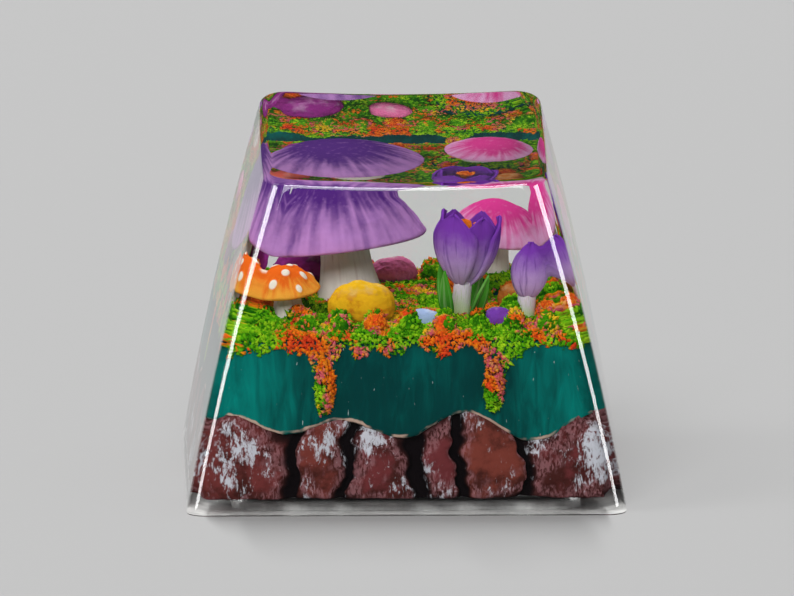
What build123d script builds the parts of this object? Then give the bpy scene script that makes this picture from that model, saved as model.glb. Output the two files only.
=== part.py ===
"""Artisan keycap: a clear resin casting round a miniature woodland garden, on a cross-socket stem.

Millimetres, +Z up. The origin is the middle of the base, on the surface that the cap stands on,
and the front of the cap faces -Y.
"""

import math
import os
import random

from build123d import *

# Clear casting
BASE_WIDTH = 18.4
BASE_DEPTH = 18.4
TOP_WIDTH = 11.7
TOP_DEPTH = 13.2
TOP_SETBACK = 2.45
FRONT_HEIGHT = 13.85
BACK_HEIGHT = 15.4
SIDE_BULGE = 0.2
FOOT_CORNER = 0.8
TOP_CORNER = 1.2
LEAST_CORNER = 0.3
DISH_RADIUS = 80.0
DISH_MARGIN = 0.03
RIM_ROUND = 0.3
FOOT_ROUND = 0.12

# Hollow under the cap, and the stem insert that the switch plugs into
HOLLOW_WALL = 1.9
HOLLOW_DEPTH = 4.6
HOLLOW_DRAFT = 6.0
HOLLOW_CORNER = 1.2
STEM_DIAMETER = 5.5
STEM_RECESS = 0.4
FLANGE_DIAMETER = 7.4
FLANGE_THICKNESS = 0.5
SOCKET_LENGTH = 4.1
SOCKET_BAR = 1.3
SOCKET_CROSSBAR = 1.15
SOCKET_DEPTH = 3.9

# Rock base: a core with a row of boulders along each side, given by their share of the row
ROCK_FOOT = 0.6
ROOF_THICKNESS = 1.0
ROCK_WALL = 0.45
CORE_WALL = 1.05
ROCK_SHARES = (3.5, 2.3, 3.1, 1.9, 2.8, 3.3)
ROCK_GAP = 0.12
ROCK_DEPTH = 2.2
ROCK_HEIGHT = 4.6
ROCK_RINGS = ((0.0, 0.84), (0.22, 0.98), (0.62, 1.0), (1.0, 0.8))
ROCK_SHAKE = 0.08
ROCK_CORNERS = 8
ROCK_BLOCKINESS = 0.7
ROCK_SEED = 11

# Terrain laid over the rock, with a wavy lower edge and a mound at the back
TERRAIN_WALL = 0.7
TERRAIN_EDGE = 3.55
TERRAIN_WAVE = 0.42
TERRAIN_SWAY = 0.18
WAVES = 3
WAVE_POINTS = 25
WAVE_BITE = 0.12
PLATEAU = 7.1
PLATEAU_ROUND = 0.35
MOUND_FOOT = 2.3
MOUND_TOP = 1.4
MOUND_HEIGHT = 0.9

# Every place in the garden is a share of the plateau's half width and half depth
MOUND_PLACE = (0.475, 0.43)

# Toadstools: place, lean about X and Y, height of the ground, then the sizes of stalk and cap
TOADSTOOLS = {
    "tall": dict(
        place=(-0.29, 0.14), lean=(-4, -7), ground=PLATEAU, stalk=3.3, foot=1.55, neck=1.0, cap=3.5, crown=2.7
    ),
    "lilac": dict(
        place=MOUND_PLACE, lean=(5, 9), ground=PLATEAU + MOUND_HEIGHT,
        stalk=2.3, foot=0.95, neck=0.6, cap=2.0, crown=1.4
    ),
    "small": dict(
        place=(-0.635, -0.4), lean=(4, -6), ground=PLATEAU, stalk=2.1, foot=0.8, neck=0.5, cap=1.45, crown=1.0
    ),
}
STALK_WAIST = 0.82
STALK_PEG = 0.35
CROWN_ROUND = 0.92
CROWN_ANGLE = 45
CAP_LIP = 0.14
GILL_RISE = 0.3
FOOT_SINK = 0.6

# Crocus flower, bud and leaves
CROCUS_PLACE = (0.3, -0.34)
CROCUS_LEAN = (-3, 6)
CROCUS_STALK = 1.5
CROCUS_STALK_RADIUS = 0.38
CUP_HEIGHT = 3.0
CUP_BELLY = 1.4
CUP_MOUTH = 1.3
CUP_WALL = 0.22
PETALS = 6
PETAL_NOTCH = 1.35
STIGMA_RADIUS = 0.2
STIGMA_KNOB = 0.38
BUD_PLACE = (0.66, -0.42)
BUD_LEAN = (-2, 5)
BUD_STALK = 1.1
BUD_HEIGHT = 2.3
BUD_RADIUS = 0.8
BUD_TIP = 0.12
LEAF_LENGTH = 3.0
LEAF_WIDTH = 0.6
LEAF_THICKNESS = 0.2
LEAF_LEAN = 24.0
LEAF_TURNS = (35, 155, 215, 330)
LEAF_OFFSET = 0.75

# Stones: place, length, girth and turn about Z
STONES = {
    "yellow_stone": dict(place=(-0.24, -0.49), length=2.9, girth=2.2, turn=12),
    "blue_stone": dict(place=(0.095, -0.59), length=1.9, girth=1.1, turn=-8),
    "violet_stone": dict(place=(0.515, -0.6), length=1.6, girth=1.2, turn=15),
    "amber_stone": dict(place=(0.61, -0.06), length=1.9, girth=1.4, turn=70),
    "coral_stone": dict(place=(-0.66, -0.01), length=2.1, girth=1.7, turn=80),
    "plum_stone": dict(place=(-0.515, 0.605), length=3.0, girth=2.1, turn=-20),
    "pink_stone": dict(place=(-0.05, 0.62), length=2.1, girth=1.5, turn=15),
}
STONE_SINK = 0.25

# Moss: a carpet with loops of clumps on it, some of them orange, and strands that trail down the terrain
CARPET = 0.3
CLUMP_COUNTS = (34, 26)
ORANGE_CLUMPS = (2, 6, 12, 19, 24, 30, 35, 51)
CLUMP_PITCH = 1.4
CLUMP_WIDTH = 1.2
CLUMP_LEAST = 0.85
CLUMP_HEIGHT = 0.55
CLUMP_RINGS = ((0.0, 1.0), (0.6, 0.85), (1.0, 0.4))
CLUMP_SHAKE = 0.15
CLUMP_CORNERS = 6
STRANDS = {
    "front_strand": dict(side=0, place=-0.45, length=2.8),
    "front_corner_strand": dict(side=0, place=0.48, length=2.6),
    "right_strand": dict(side=1, place=0.24, length=2.4),
    "back_strand": dict(side=2, place=-0.34, length=2.6),
    "left_strand": dict(side=3, place=-0.29, length=2.4),
}
STRAND_WIDTH = 0.9
STRAND_THICKNESS = 0.4
MOSS_SEED = 5

# Worked out from the sizes above
MIDDLE_HEIGHT = (FRONT_HEIGHT + BACK_HEIGHT) / 2
FRONT_SLOPE = TOP_SETBACK / FRONT_HEIGHT
BACK_SLOPE = (BASE_DEPTH - TOP_SETBACK - TOP_DEPTH) / BACK_HEIGHT
SIDE_SLOPE = (BASE_WIDTH - TOP_WIDTH) / 2 / MIDDLE_HEIGHT
SLOPES = (FRONT_SLOPE, SIDE_SLOPE, BACK_SLOPE, SIDE_SLOPE)
ROCK_TOP = HOLLOW_DEPTH + ROOF_THICKNESS
FAR = 2 * (BASE_WIDTH + BASE_DEPTH)
RISING = (Align.CENTER, Align.CENTER, Align.MIN)


def section(share):
    """A rounded cross-section of the casting, from its base at share 0 to its rim at share 1."""
    front = -BASE_DEPTH / 2 + share * TOP_SETBACK
    back = BASE_DEPTH / 2 + share * (TOP_SETBACK + TOP_DEPTH - BASE_DEPTH)
    rise = share * (BACK_HEIGHT - FRONT_HEIGHT)
    swell = 8 * SIDE_BULGE * share * (1 - share)
    width = BASE_WIDTH + share * (TOP_WIDTH - BASE_WIDTH) + swell
    depth = math.hypot(back - front, rise) + swell
    tilt = math.atan2(rise, back - front)
    plane = Plane(
        origin=(0, (front + back) / 2, share * MIDDLE_HEIGHT),
        x_dir=(1, 0, 0),
        z_dir=(0, -math.sin(tilt), math.cos(tilt)),
    )
    return plane * RectangleRounded(width, depth, FOOT_CORNER + share * (TOP_CORNER - FOOT_CORNER))


def outer_casting():
    """The swelling, tapered block with its dished top and rounded edges."""
    block = loft([section(share) for share in (0, 0.5, 1)])
    rim = section(1)
    middle = Vector(rim.center())
    up = Vector(rim.face().normal_at())
    reach = max((Vector(corner) - middle).length for corner in rim.vertices())
    dish_depth = reach**2 / (2 * DISH_RADIUS) + DISH_MARGIN
    block -= Pos(middle + up * (DISH_RADIUS - dish_depth)) * Sphere(DISH_RADIUS)
    block = fillet(block.faces().filter_by(GeomType.SPHERE).edges(), RIM_ROUND)
    return fillet(block.faces().sort_by(Axis.Z)[0].edges(), FOOT_ROUND)


def reach_at(height):
    """Half width, front and back of the casting at a height, without the swell of its sides."""
    half_width = BASE_WIDTH / 2 - SIDE_SLOPE * height
    return half_width, -BASE_DEPTH / 2 + FRONT_SLOPE * height, BASE_DEPTH / 2 - BACK_SLOPE * height


def level(inset, height):
    """The rectangle at a height that keeps a wall inside the casting's slopes."""
    half_width, front, back = reach_at(height)
    plan = Rectangle(2 * (half_width - inset), back - front - 2 * inset)
    return Pos(0, (front + back) / 2, height) * plan


def garden_spot(across, along):
    """The point of the plateau at shares of its half width and half depth."""
    half_width, front, back = reach_at(PLATEAU)
    return across * half_width, (front + back) / 2 + along * (back - front) / 2


def tapered_block(inset, low, high):
    """A flat-sided block between two heights that keeps a wall inside the casting."""
    block = loft([level(inset, low), level(inset, high)], ruled=True)
    uprights = block.edges().group_by(Axis.Z)[1]
    return fillet(uprights, max(FOOT_CORNER - inset, LEAST_CORNER))


def side_frame(side):
    """The frame of one sloping side: X along its foot, Y inwards, Z up the slope. Side 0 is the front."""
    out = (BASE_WIDTH if side % 2 else BASE_DEPTH) / 2
    return Rot(Z=90 * side) * Pos(0, -out, 0) * Rot(X=-math.degrees(math.atan(SLOPES[side])))


def above(height):
    """Everything from a height upwards."""
    return Pos(0, 0, height) * Box(FAR, FAR, FAR, align=RISING)


def rough_hull(width, depth, height, rings, corners, shake, chance, blockiness=1.0):
    """A rough stone or tuft on a flat foot: the hull of shaken rings of points, squarer at low blockiness."""

    def squared(value):
        return math.copysign(abs(value) ** blockiness, value)

    points = []
    for ring, (share, girth) in enumerate(rings):
        for corner in range(corners):
            angle = 2 * math.pi * (corner + ring / 2) / corners
            reach = girth * (1 - shake * chance.random()) / 2
            across, along = reach * squared(math.cos(angle)), reach * squared(math.sin(angle))
            points.append((width * across, depth * along, height * share))
    return ConvexPolyhedron(points)


def revolved(line):
    """The solid that a closed profile in X and Z sweeps about the Z axis."""
    return revolve(Plane.XZ * make_face(line), Axis.Z)


def hollow():
    """The drafted hollow under the cap that clears the switch's housing."""
    mouth = RectangleRounded(BASE_WIDTH - 2 * HOLLOW_WALL, BASE_DEPTH - 2 * HOLLOW_WALL, HOLLOW_CORNER)
    return extrude(mouth, HOLLOW_DEPTH, taper=HOLLOW_DRAFT)


def stem_insert():
    """The post with its cross socket, and the flange that anchors it in the roof of the hollow."""
    length = HOLLOW_DEPTH - STEM_RECESS
    post = Pos(0, 0, STEM_RECESS) * Cylinder(STEM_DIAMETER / 2, length, align=RISING)
    flange = Pos(0, 0, HOLLOW_DEPTH) * Cylinder(FLANGE_DIAMETER / 2, FLANGE_THICKNESS, align=RISING)
    cross = Rectangle(SOCKET_LENGTH, SOCKET_BAR) + Rectangle(SOCKET_CROSSBAR, SOCKET_LENGTH)
    return post + flange - Pos(0, 0, STEM_RECESS) * extrude(cross, SOCKET_DEPTH)


def under_wave(side):
    """The space under a wavy line drawn across one side, from outside to just within the core."""
    half_width, front, back = reach_at(TERRAIN_EDGE)
    half_span = ((back - front) / 2 if side % 2 else half_width) - TERRAIN_WALL
    inner = (-front, half_width, back, half_width)[side] - CORE_WALL - WAVE_BITE
    outline = []
    for step in range(WAVE_POINTS):
        share = 2 * step / (WAVE_POINTS - 1) - 1
        wave = -TERRAIN_WAVE * math.cos(WAVES * math.pi * share) + TERRAIN_SWAY * math.sin(2 * math.pi * share)
        outline.append((share * half_span, TERRAIN_EDGE + wave))
    first, last = outline[0][1], outline[-1][1]
    outline += [(FAR / 2, last), (FAR / 2, 0), (-FAR / 2, 0), (-FAR / 2, first)]
    face = make_face(Polyline(*outline, close=True))
    return Rot(Z=90 * side) * Pos(0, -inner, 0) * extrude(Plane.XZ * face, FAR / 2)


def rock_core():
    """The plain middle of the rock, which carries the boulders and the terrain."""
    return tapered_block(CORE_WALL, ROCK_FOOT, ROCK_TOP)


def drape(inset):
    """The space above the wavy edge and round the core, up to the plateau."""
    block = tapered_block(inset, TERRAIN_EDGE - 2 * (TERRAIN_WAVE + TERRAIN_SWAY), PLATEAU)
    return block - rock_core() - [under_wave(side) for side in range(4)]


def mound():
    """The flat-topped rise at the back of the plateau."""
    return Pos(*garden_spot(*MOUND_PLACE), PLATEAU) * Cone(MOUND_FOOT, MOUND_TOP, MOUND_HEIGHT, align=RISING)


def terrain_layer():
    """The terrain that drapes over the rock, with its mound."""
    block = drape(TERRAIN_WALL)
    block = fillet(block.faces().sort_by(Axis.Z)[-1].edges(), PLATEAU_ROUND)
    return block + mound()


def boulders(side, chance):
    """A row of boulders along one side, parted by cracks that reach the core."""
    half_width, front, back = reach_at(ROCK_FOOT + ROCK_HEIGHT / 2)
    span = (back - front if side % 2 else 2 * half_width) - 2 * ROCK_WALL
    shares = ROCK_SHARES[side:] + ROCK_SHARES[:side]
    along = -span / 2
    for width in (share * span / sum(shares) for share in shares):
        seat = Pos(along + width / 2, ROCK_WALL + ROCK_DEPTH / 2, ROCK_FOOT)
        rock = rough_hull(
            width - ROCK_GAP, ROCK_DEPTH, ROCK_HEIGHT, ROCK_RINGS, ROCK_CORNERS, ROCK_SHAKE, chance, ROCK_BLOCKINESS
        )
        yield side_frame(side) * seat * rock
        along += width


def rock_base():
    """The core and its boulders, with the hollow and the stem's seat cut out of them."""
    chance = random.Random(ROCK_SEED)
    rocks = [rock for side in range(4) for rock in boulders(side, chance)]
    whole = (rock_core() + rocks) & tapered_block(ROCK_WALL, ROCK_FOOT, ROCK_TOP)
    return whole - drape(0) - hollow() - stem_insert()


def standing(place, lean, ground=PLATEAU):
    """The frame of a figure that stands on the ground."""
    return Pos(*garden_spot(*place), ground) * Rot(*lean, 0)


def toadstool_stalk(stalk, foot, neck):
    """A stalk with a swollen foot, a slim waist and a peg at its top, run on below the ground."""
    waist = STALK_WAIST * (foot + neck) / 2
    shoulder = stalk - STALK_PEG
    side = ThreePointArc((foot, 0), (waist, 0.6 * stalk), (neck, shoulder))
    peg = Polyline((neck, shoulder), (neck, stalk), (0, stalk))
    root = Polyline((0, stalk), (0, -FOOT_SINK), (foot, -FOOT_SINK), (foot, 0))
    return revolved(side + peg + root)


def toadstool_cap(cap, crown, neck):
    """A domed cap with a rolled lip, a shallow cone of gills underneath and a socket for the stalk's peg."""
    inner, socket = cap - 2 * CAP_LIP, GILL_RISE + STALK_PEG
    round_top = CROWN_ROUND * cap
    top = CenterArc((0, crown - round_top), round_top, 90 - CROWN_ANGLE, CROWN_ANGLE)
    shoulder = TangentArc(top @ 0, (cap, 0), tangent=-(top % 0))
    lip = ThreePointArc((cap, 0), (cap - CAP_LIP, -CAP_LIP), (inner, 0))
    under = Polyline((inner, 0), (neck, GILL_RISE), (neck, socket), (0, socket), (0, crown))
    return revolved(top + shoulder + lip + under)


def toadstools():
    """Stalk and cap of each toadstool, with the stalk's peg let into the cap."""
    pieces = {}
    for name, t in TOADSTOOLS.items():
        frame = standing(t["place"], t["lean"], t["ground"])
        stalk = frame * toadstool_stalk(t["stalk"], t["foot"], t["neck"])
        rim = Pos(0, 0, t["stalk"] - STALK_PEG - GILL_RISE)
        pieces[f"{name}_toadstool_stalk"] = stalk & above(t["ground"])
        pieces[f"{name}_toadstool_cap"] = frame * rim * toadstool_cap(t["cap"], t["crown"], t["neck"])
    return pieces


def crocus_cup():
    """A six-petalled cup: a revolved shell with pointed notches between its petals."""
    foot, belly, mouth, wall = CROCUS_STALK_RADIUS, CUP_BELLY, CUP_MOUTH, CUP_WALL
    middle = 0.55 * CUP_HEIGHT
    outside = ThreePointArc((foot, 0), (belly, middle), (mouth, CUP_HEIGHT))
    inside = ThreePointArc((mouth - wall, CUP_HEIGHT), (belly - wall, middle), (foot, 2 * wall))
    lip = Line((mouth, CUP_HEIGHT), (mouth - wall, CUP_HEIGHT))
    floor = Polyline((foot, 2 * wall), (0, 2 * wall), (0, 0), (foot, 0))
    cup = revolved(outside + lip + inside + floor)
    gap = math.pi * belly / PETALS
    top = CUP_HEIGHT + wall
    notch = Polygon((0, CUP_HEIGHT - PETAL_NOTCH), (gap, top), (-gap, top), align=None)
    cutter = extrude(Plane.XZ * notch, 2 * belly)
    return cup - [Rot(Z=360 * petal / PETALS) * cutter for petal in range(PETALS)]


def bud_petals():
    """A closed bud that swells from its stalk and draws in to a blunt tip."""
    side = ThreePointArc(
        (CROCUS_STALK_RADIUS, 0), (BUD_RADIUS, 0.42 * BUD_HEIGHT), (BUD_TIP, BUD_HEIGHT)
    )
    ends = Polyline((BUD_TIP, BUD_HEIGHT), (0, BUD_HEIGHT), (0, 0), (CROCUS_STALK_RADIUS, 0))
    return revolved(side + ends)


def leaf():
    """A slim blade between two arcs, standing on its point."""
    half, middle, tip = LEAF_WIDTH / 2, LEAF_LENGTH / 2, (0, LEAF_LENGTH)
    outline = ThreePointArc((0, 0), (half, middle), tip) + ThreePointArc(tip, (-half, middle), (0, 0))
    return extrude(Plane.XZ * make_face(outline), LEAF_THICKNESS / 2, both=True)


def crocuses():
    """The open flower with its stigma, the closed bud, their stalks and the leaves round them."""
    flower, bud = standing(CROCUS_PLACE, CROCUS_LEAN), standing(BUD_PLACE, BUD_LEAN)
    buried = Pos(0, 0, -FOOT_SINK)
    cup = flower * Pos(0, 0, CROCUS_STALK)
    stalk = flower * buried * Cylinder(CROCUS_STALK_RADIUS, CROCUS_STALK + FOOT_SINK, align=RISING)
    floor, knob = 2 * CUP_WALL, CUP_HEIGHT - STIGMA_KNOB
    stigma = Pos(0, 0, floor) * Cylinder(STIGMA_RADIUS, knob - floor, align=RISING)
    bud_stalk = bud * buried * Cylinder(CROCUS_STALK_RADIUS, BUD_STALK + FOOT_SINK, align=RISING)
    blade = Pos(0, -LEAF_OFFSET, 0) * Rot(X=LEAF_LEAN) * buried * leaf()
    pieces = {
        "crocus_stalk": stalk & above(PLATEAU),
        "crocus_petals": cup * crocus_cup(),
        "crocus_stigma": cup * (stigma + Pos(0, 0, knob) * Sphere(STIGMA_KNOB)),
        "bud_stalk": bud_stalk & above(PLATEAU),
        "bud_petals": bud * Pos(0, 0, BUD_STALK) * bud_petals(),
    }
    for number, turn in enumerate(LEAF_TURNS, start=1):
        pieces[f"crocus_leaf_{number}"] = flower * Rot(Z=turn) * blade & above(PLATEAU)
    return pieces


def stones():
    """Rounded oval stones, flat where they are bedded on the plateau."""
    pieces = {}
    for name, s in STONES.items():
        radius = s["girth"] / 2
        drop = radius - STONE_SINK
        foot = math.sqrt(radius**2 - drop**2)
        side = ThreePointArc((foot, 0), (radius, drop), (0, radius + drop))
        ball = revolved(side + Polyline((0, radius + drop), (0, 0), (foot, 0)))
        oval = scale(ball, by=(s["length"] / s["girth"], 1, 1))
        pieces[name] = Pos(*garden_spot(*s["place"]), PLATEAU) * Rot(Z=s["turn"]) * oval
    return pieces


def clump_places():
    """Places for clumps, in order along loops inside the plateau's edge."""
    half_width, front, back = reach_at(PLATEAU)
    for ring, count in enumerate(CLUMP_COUNTS):
        inset = TERRAIN_WALL + PLATEAU_ROUND + CLUMP_WIDTH / 2 + ring * CLUMP_PITCH
        plan = Rectangle(2 * (half_width - inset), back - front - 2 * inset)
        loop = (Pos(0, (front + back) / 2) * plan).wire()
        for index in range(count):
            spot = loop @ (index / count)
            yield spot.X, spot.Y


def clumps(chance):
    """The green and the orange clumps of moss that stand on the carpet."""
    green, orange = [], []
    for index, place in enumerate(clump_places()):
        width = CLUMP_WIDTH * chance.uniform(CLUMP_LEAST, 1)
        tuft = rough_hull(width, width, CLUMP_HEIGHT, CLUMP_RINGS, CLUMP_CORNERS, CLUMP_SHAKE, chance)
        tint = orange if index in ORANGE_CLUMPS else green
        tint.append(Pos(*place, PLATEAU + CARPET) * tuft)
    return green, orange


def strands(chance):
    """The strands of moss that lie on the terrain's sloping sides."""
    half_width, front, back = reach_at(PLATEAU)
    pieces = {}
    for name, s in STRANDS.items():
        half_side = (back - front) / 2 if s["side"] % 2 else half_width
        wall = TERRAIN_WALL * math.cos(math.atan(SLOPES[s["side"]]))
        tuft = rough_hull(
            STRAND_WIDTH, s["length"], STRAND_THICKNESS, CLUMP_RINGS, CLUMP_CORNERS, CLUMP_SHAKE, chance
        )
        middle = PLATEAU - PLATEAU_ROUND - s["length"] / 2
        pieces[name] = side_frame(s["side"]) * Pos(s["place"] * half_side, wall, middle) * Rot(X=90) * tuft
    return pieces


def moss(figures):
    """The green carpet with its clumps, the orange clumps between them, and the trailing strands."""
    chance = random.Random(MOSS_SEED)
    flat = TERRAIN_WALL + PLATEAU_ROUND
    half_width, front, back = reach_at(PLATEAU)
    plan = RectangleRounded(2 * (half_width - flat), back - front - 2 * flat, TOP_CORNER)
    carpet = Pos(0, (front + back) / 2, PLATEAU) * extrude(plan, CARPET)
    green, orange = clumps(chance)
    round_mound = Pos(*garden_spot(*MOUND_PLACE), PLATEAU) * Cylinder(MOUND_FOOT, FAR, align=RISING)
    pieces = {"green_moss": carpet + green - [round_mound, *figures, *orange]}
    for number, tuft in enumerate(orange, start=1):
        pieces[f"orange_moss_{number}"] = tuft - [round_mound, *figures]
    return {**pieces, **strands(chance)}


def build():
    """Every piece by name. The clear casting takes the space that the others leave."""
    pieces = {"stem_insert": stem_insert(), "rock_base": rock_base(), "terrain_layer": terrain_layer()}
    figures = {**stones(), **toadstools(), **crocuses()}
    pieces.update(figures)
    pieces.update(moss(list(figures.values())))
    pieces["clear_casting"] = outer_casting() - hollow() - list(pieces.values())
    return pieces


def main():
    os.makedirs("parts", exist_ok=True)
    for name, piece in build().items():
        export_step(piece, os.path.join("parts", f"{name}.step"))


main()
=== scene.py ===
"""Dresses the artisan keycap: clear resin round a painted garden of rock, moss, toadstools and flowers.

Sizes are in millimetres in the classes and become metres where a mesh is made.
"""

import logging
import math
import random
from dataclasses import dataclass
from enum import Enum
from typing import Any, Iterable, Optional, Sequence

import bmesh
import bpy
import numpy as np
from mathutils import Matrix, Vector, noise


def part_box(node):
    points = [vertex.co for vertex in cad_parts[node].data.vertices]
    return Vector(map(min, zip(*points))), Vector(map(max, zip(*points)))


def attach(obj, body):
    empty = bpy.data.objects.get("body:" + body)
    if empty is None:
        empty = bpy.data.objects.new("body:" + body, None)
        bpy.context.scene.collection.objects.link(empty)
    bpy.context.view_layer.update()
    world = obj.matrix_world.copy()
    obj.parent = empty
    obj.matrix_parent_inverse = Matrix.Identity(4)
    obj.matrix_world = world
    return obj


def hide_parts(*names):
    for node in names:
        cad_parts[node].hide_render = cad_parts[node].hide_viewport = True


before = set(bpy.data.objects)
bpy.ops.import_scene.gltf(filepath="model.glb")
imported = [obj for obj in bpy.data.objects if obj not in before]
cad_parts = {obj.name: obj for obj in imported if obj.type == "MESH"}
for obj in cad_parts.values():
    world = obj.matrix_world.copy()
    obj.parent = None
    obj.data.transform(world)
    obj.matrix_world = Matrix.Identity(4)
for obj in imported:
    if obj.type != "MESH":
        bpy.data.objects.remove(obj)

LOG = logging.getLogger("keycap")
MM = 0.001
BODY = "root"
IMAGE_WIDTH = 794
POLE = 0.001
CRUMB_SQUASH = ((0.4, 0.4, 0.8), (1.4, 1.4, 2.3))
CRUMB_TURN = ((-1.2, -1.2, 0.0), (1.2, 1.2, 6.28))
CRUMB_RUFFLE = 2.2e-4
RUFFLE_SCALE = 7000.0
LEAST_FACING = -0.7

Colour = tuple[float, float, float]
Point = tuple[float, float, float]
Spot = tuple[float, float]


class Side(Enum):
    """The casting's four sides, anticlockwise from above."""

    FRONT = 0
    RIGHT = 1
    BACK = 2
    LEFT = 3


class Glow(Enum):
    """What a lamp is seen by."""

    EVERYTHING = "everything"
    GLEAMS = "gleams"
    PAINT = "paint"


class Wire:
    """A shader value that adds Math nodes when it is used in an expression."""

    def __init__(self, paint: "Paint", socket: bpy.types.NodeSocket) -> None:
        """Wraps one output socket of a paint's tree."""
        self.paint = paint
        self.socket = socket

    def _math(self, operation: str, *values: Any) -> "Wire":
        """Adds a Math node whose inputs are wires or numbers."""
        return self.paint.node("ShaderNodeMath", {"operation": operation}, dict(enumerate(values)))

    def __add__(self, other: Any) -> "Wire":
        """Adds a wire or a number."""
        return self._math("ADD", self, other)

    def __radd__(self, other: Any) -> "Wire":
        """Adds to a number."""
        return self._math("ADD", other, self)

    def __sub__(self, other: Any) -> "Wire":
        """Takes a wire or a number away."""
        return self._math("SUBTRACT", self, other)

    def __rsub__(self, other: Any) -> "Wire":
        """Is taken away from a number."""
        return self._math("SUBTRACT", other, self)

    def __mul__(self, other: Any) -> "Wire":
        """Multiplies by a wire or a number."""
        return self._math("MULTIPLY", self, other)

    def __rmul__(self, other: Any) -> "Wire":
        """Multiplies a number."""
        return self._math("MULTIPLY", other, self)

    def __abs__(self) -> "Wire":
        """Drops the sign."""
        return self._math("ABSOLUTE", self)

    def step(self, low: float, high: float) -> "Wire":
        """Eases from 0 where the value is low to 1 where it is high."""
        values = {"Value": self, "From Min": low, "From Max": high, "To Min": 0.0, "To Max": 1.0}
        return self.paint.node("ShaderNodeMapRange", {"interpolation_type": "SMOOTHSTEP"}, values)


class Paint:
    """One material's node tree, with a Principled shader at its end."""

    def __init__(self, name: str) -> None:
        """Starts an empty material of that name."""
        self.material = bpy.data.materials.new(name)
        self.material.use_nodes = True
        self.tree = self.material.node_tree
        self.shader = next(n for n in self.tree.nodes if n.type == "BSDF_PRINCIPLED")

    def node(
        self,
        kind: str,
        settings: Optional[dict[str, Any]] = None,
        values: Optional[dict[Any, Any]] = None,
        output: Any = 0,
    ) -> Wire:
        """Adds any node.

        Args:
            kind: The node's type.
            settings: Its settings, set first. "stops" gives a ramp's positions and colours.
            values: Its input sockets by name or number, as wires or constants.
            output: The output socket that is wanted, by name or number.

        Returns:
            A wire from that output.
        """
        made = self.tree.nodes.new(kind)
        for key, value in (settings or {}).items():
            if key == "stops":
                self._set_stops(made.color_ramp, value)
            else:
                setattr(made, key, value)
        for key, value in (values or {}).items():
            self.feed(made.inputs[key], value)
        return Wire(self, made.outputs[output])

    @staticmethod
    def _set_stops(ramp: bpy.types.ColorRamp, stops: Sequence[tuple[float, Colour]]) -> None:
        """Gives a ramp its stops.

        Args:
            ramp: The ramp of a Color Ramp node.
            stops: Positions and colours from left to right.
        """
        while len(ramp.elements) < len(stops):
            ramp.elements.new(0.5)
        for element, (position, colour) in zip(ramp.elements, stops):
            element.position = position
            element.color = (*colour, 1.0)

    def feed(self, socket: bpy.types.NodeSocket, value: Any) -> None:
        """Links a wire to a socket, or sets a constant on it.

        Args:
            socket: The input socket.
            value: A wire, a number, a colour or a vector.
        """
        if isinstance(value, Wire):
            self.tree.links.new(value.socket, socket)
        elif isinstance(value, tuple) and len(value) == 3 and socket.type == "RGBA":
            socket.default_value = (*value, 1.0)
        else:
            socket.default_value = value

    def place(self, stretch: Point = (1.0, 1.0, 1.0)) -> Wire:
        """Object coordinates in millimetres.

        Args:
            stretch: Scale of each axis.

        Returns:
            The scaled coordinates.
        """
        spot = self.node("ShaderNodeTexCoord", output="Object")
        scale = tuple(axis / MM for axis in stretch)
        return self.node("ShaderNodeMapping", None, {"Vector": spot, "Scale": scale})

    def grain(
        self, scale: float, detail: float = 4.0, stretch: Point = (1.0, 1.0, 1.0), twist: float = 0.0
    ) -> Wire:
        """Fractal noise from 0 to 1: features for each millimetre, octaves, scale of each axis and distortion."""
        values = {
            "Vector": self.place(stretch), "Scale": scale, "Detail": detail, "Roughness": 0.6, "Distortion": twist,
        }
        return self.node("ShaderNodeTexNoise", None, values)

    def mark(self, name: str) -> Wire:
        """The piece's own attribute of that name."""
        return self.node("ShaderNodeAttribute", {"attribute_name": name}, None, "Fac")

    def blend(self, share: Any, first: Any, second: Any, mode: str = "MIX") -> Wire:
        """Mixes two colours by a share of the second, in one of the Mix node's blend types."""
        settings = {"data_type": "RGBA", "blend_type": mode}
        return self.node("ShaderNodeMix", settings, {0: share, 6: first, 7: second}, 2)

    def ramp(self, value: Wire, *stops: tuple[float, Colour]) -> Wire:
        """Colours a value by a ramp's stops."""
        return self.node("ShaderNodeValToRGB", {"stops": stops}, {"Fac": value})

    def bump(self, height: Wire, depth: float) -> None:
        """Raises the surface by a height from 0 to 1, over a depth in millimetres."""
        values = {"Height": height, "Distance": depth * MM, "Strength": 1.0}
        self.set(Normal=self.node("ShaderNodeBump", None, values))

    def coat(self, colour: Any, roughness: Any, relief: Wire, depth: float) -> bpy.types.Material:
        """Ends a paint that doesn't shine.

        Args:
            colour: Its colour.
            roughness: Its roughness.
            relief: Its relief from 0 to 1.
            depth: Depth of the relief in millimetres.

        Returns:
            The material.
        """
        self.set(Base_Color=colour, Roughness=roughness, Specular_IOR_Level=0.0)
        self.bump(relief, depth)
        return self.material

    def set(self, **values: Any) -> None:
        """Feeds the Principled shader's sockets, named with _ for each space."""
        for name, value in values.items():
            self.feed(self.shader.inputs[name.replace("_", " ")], value)


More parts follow.
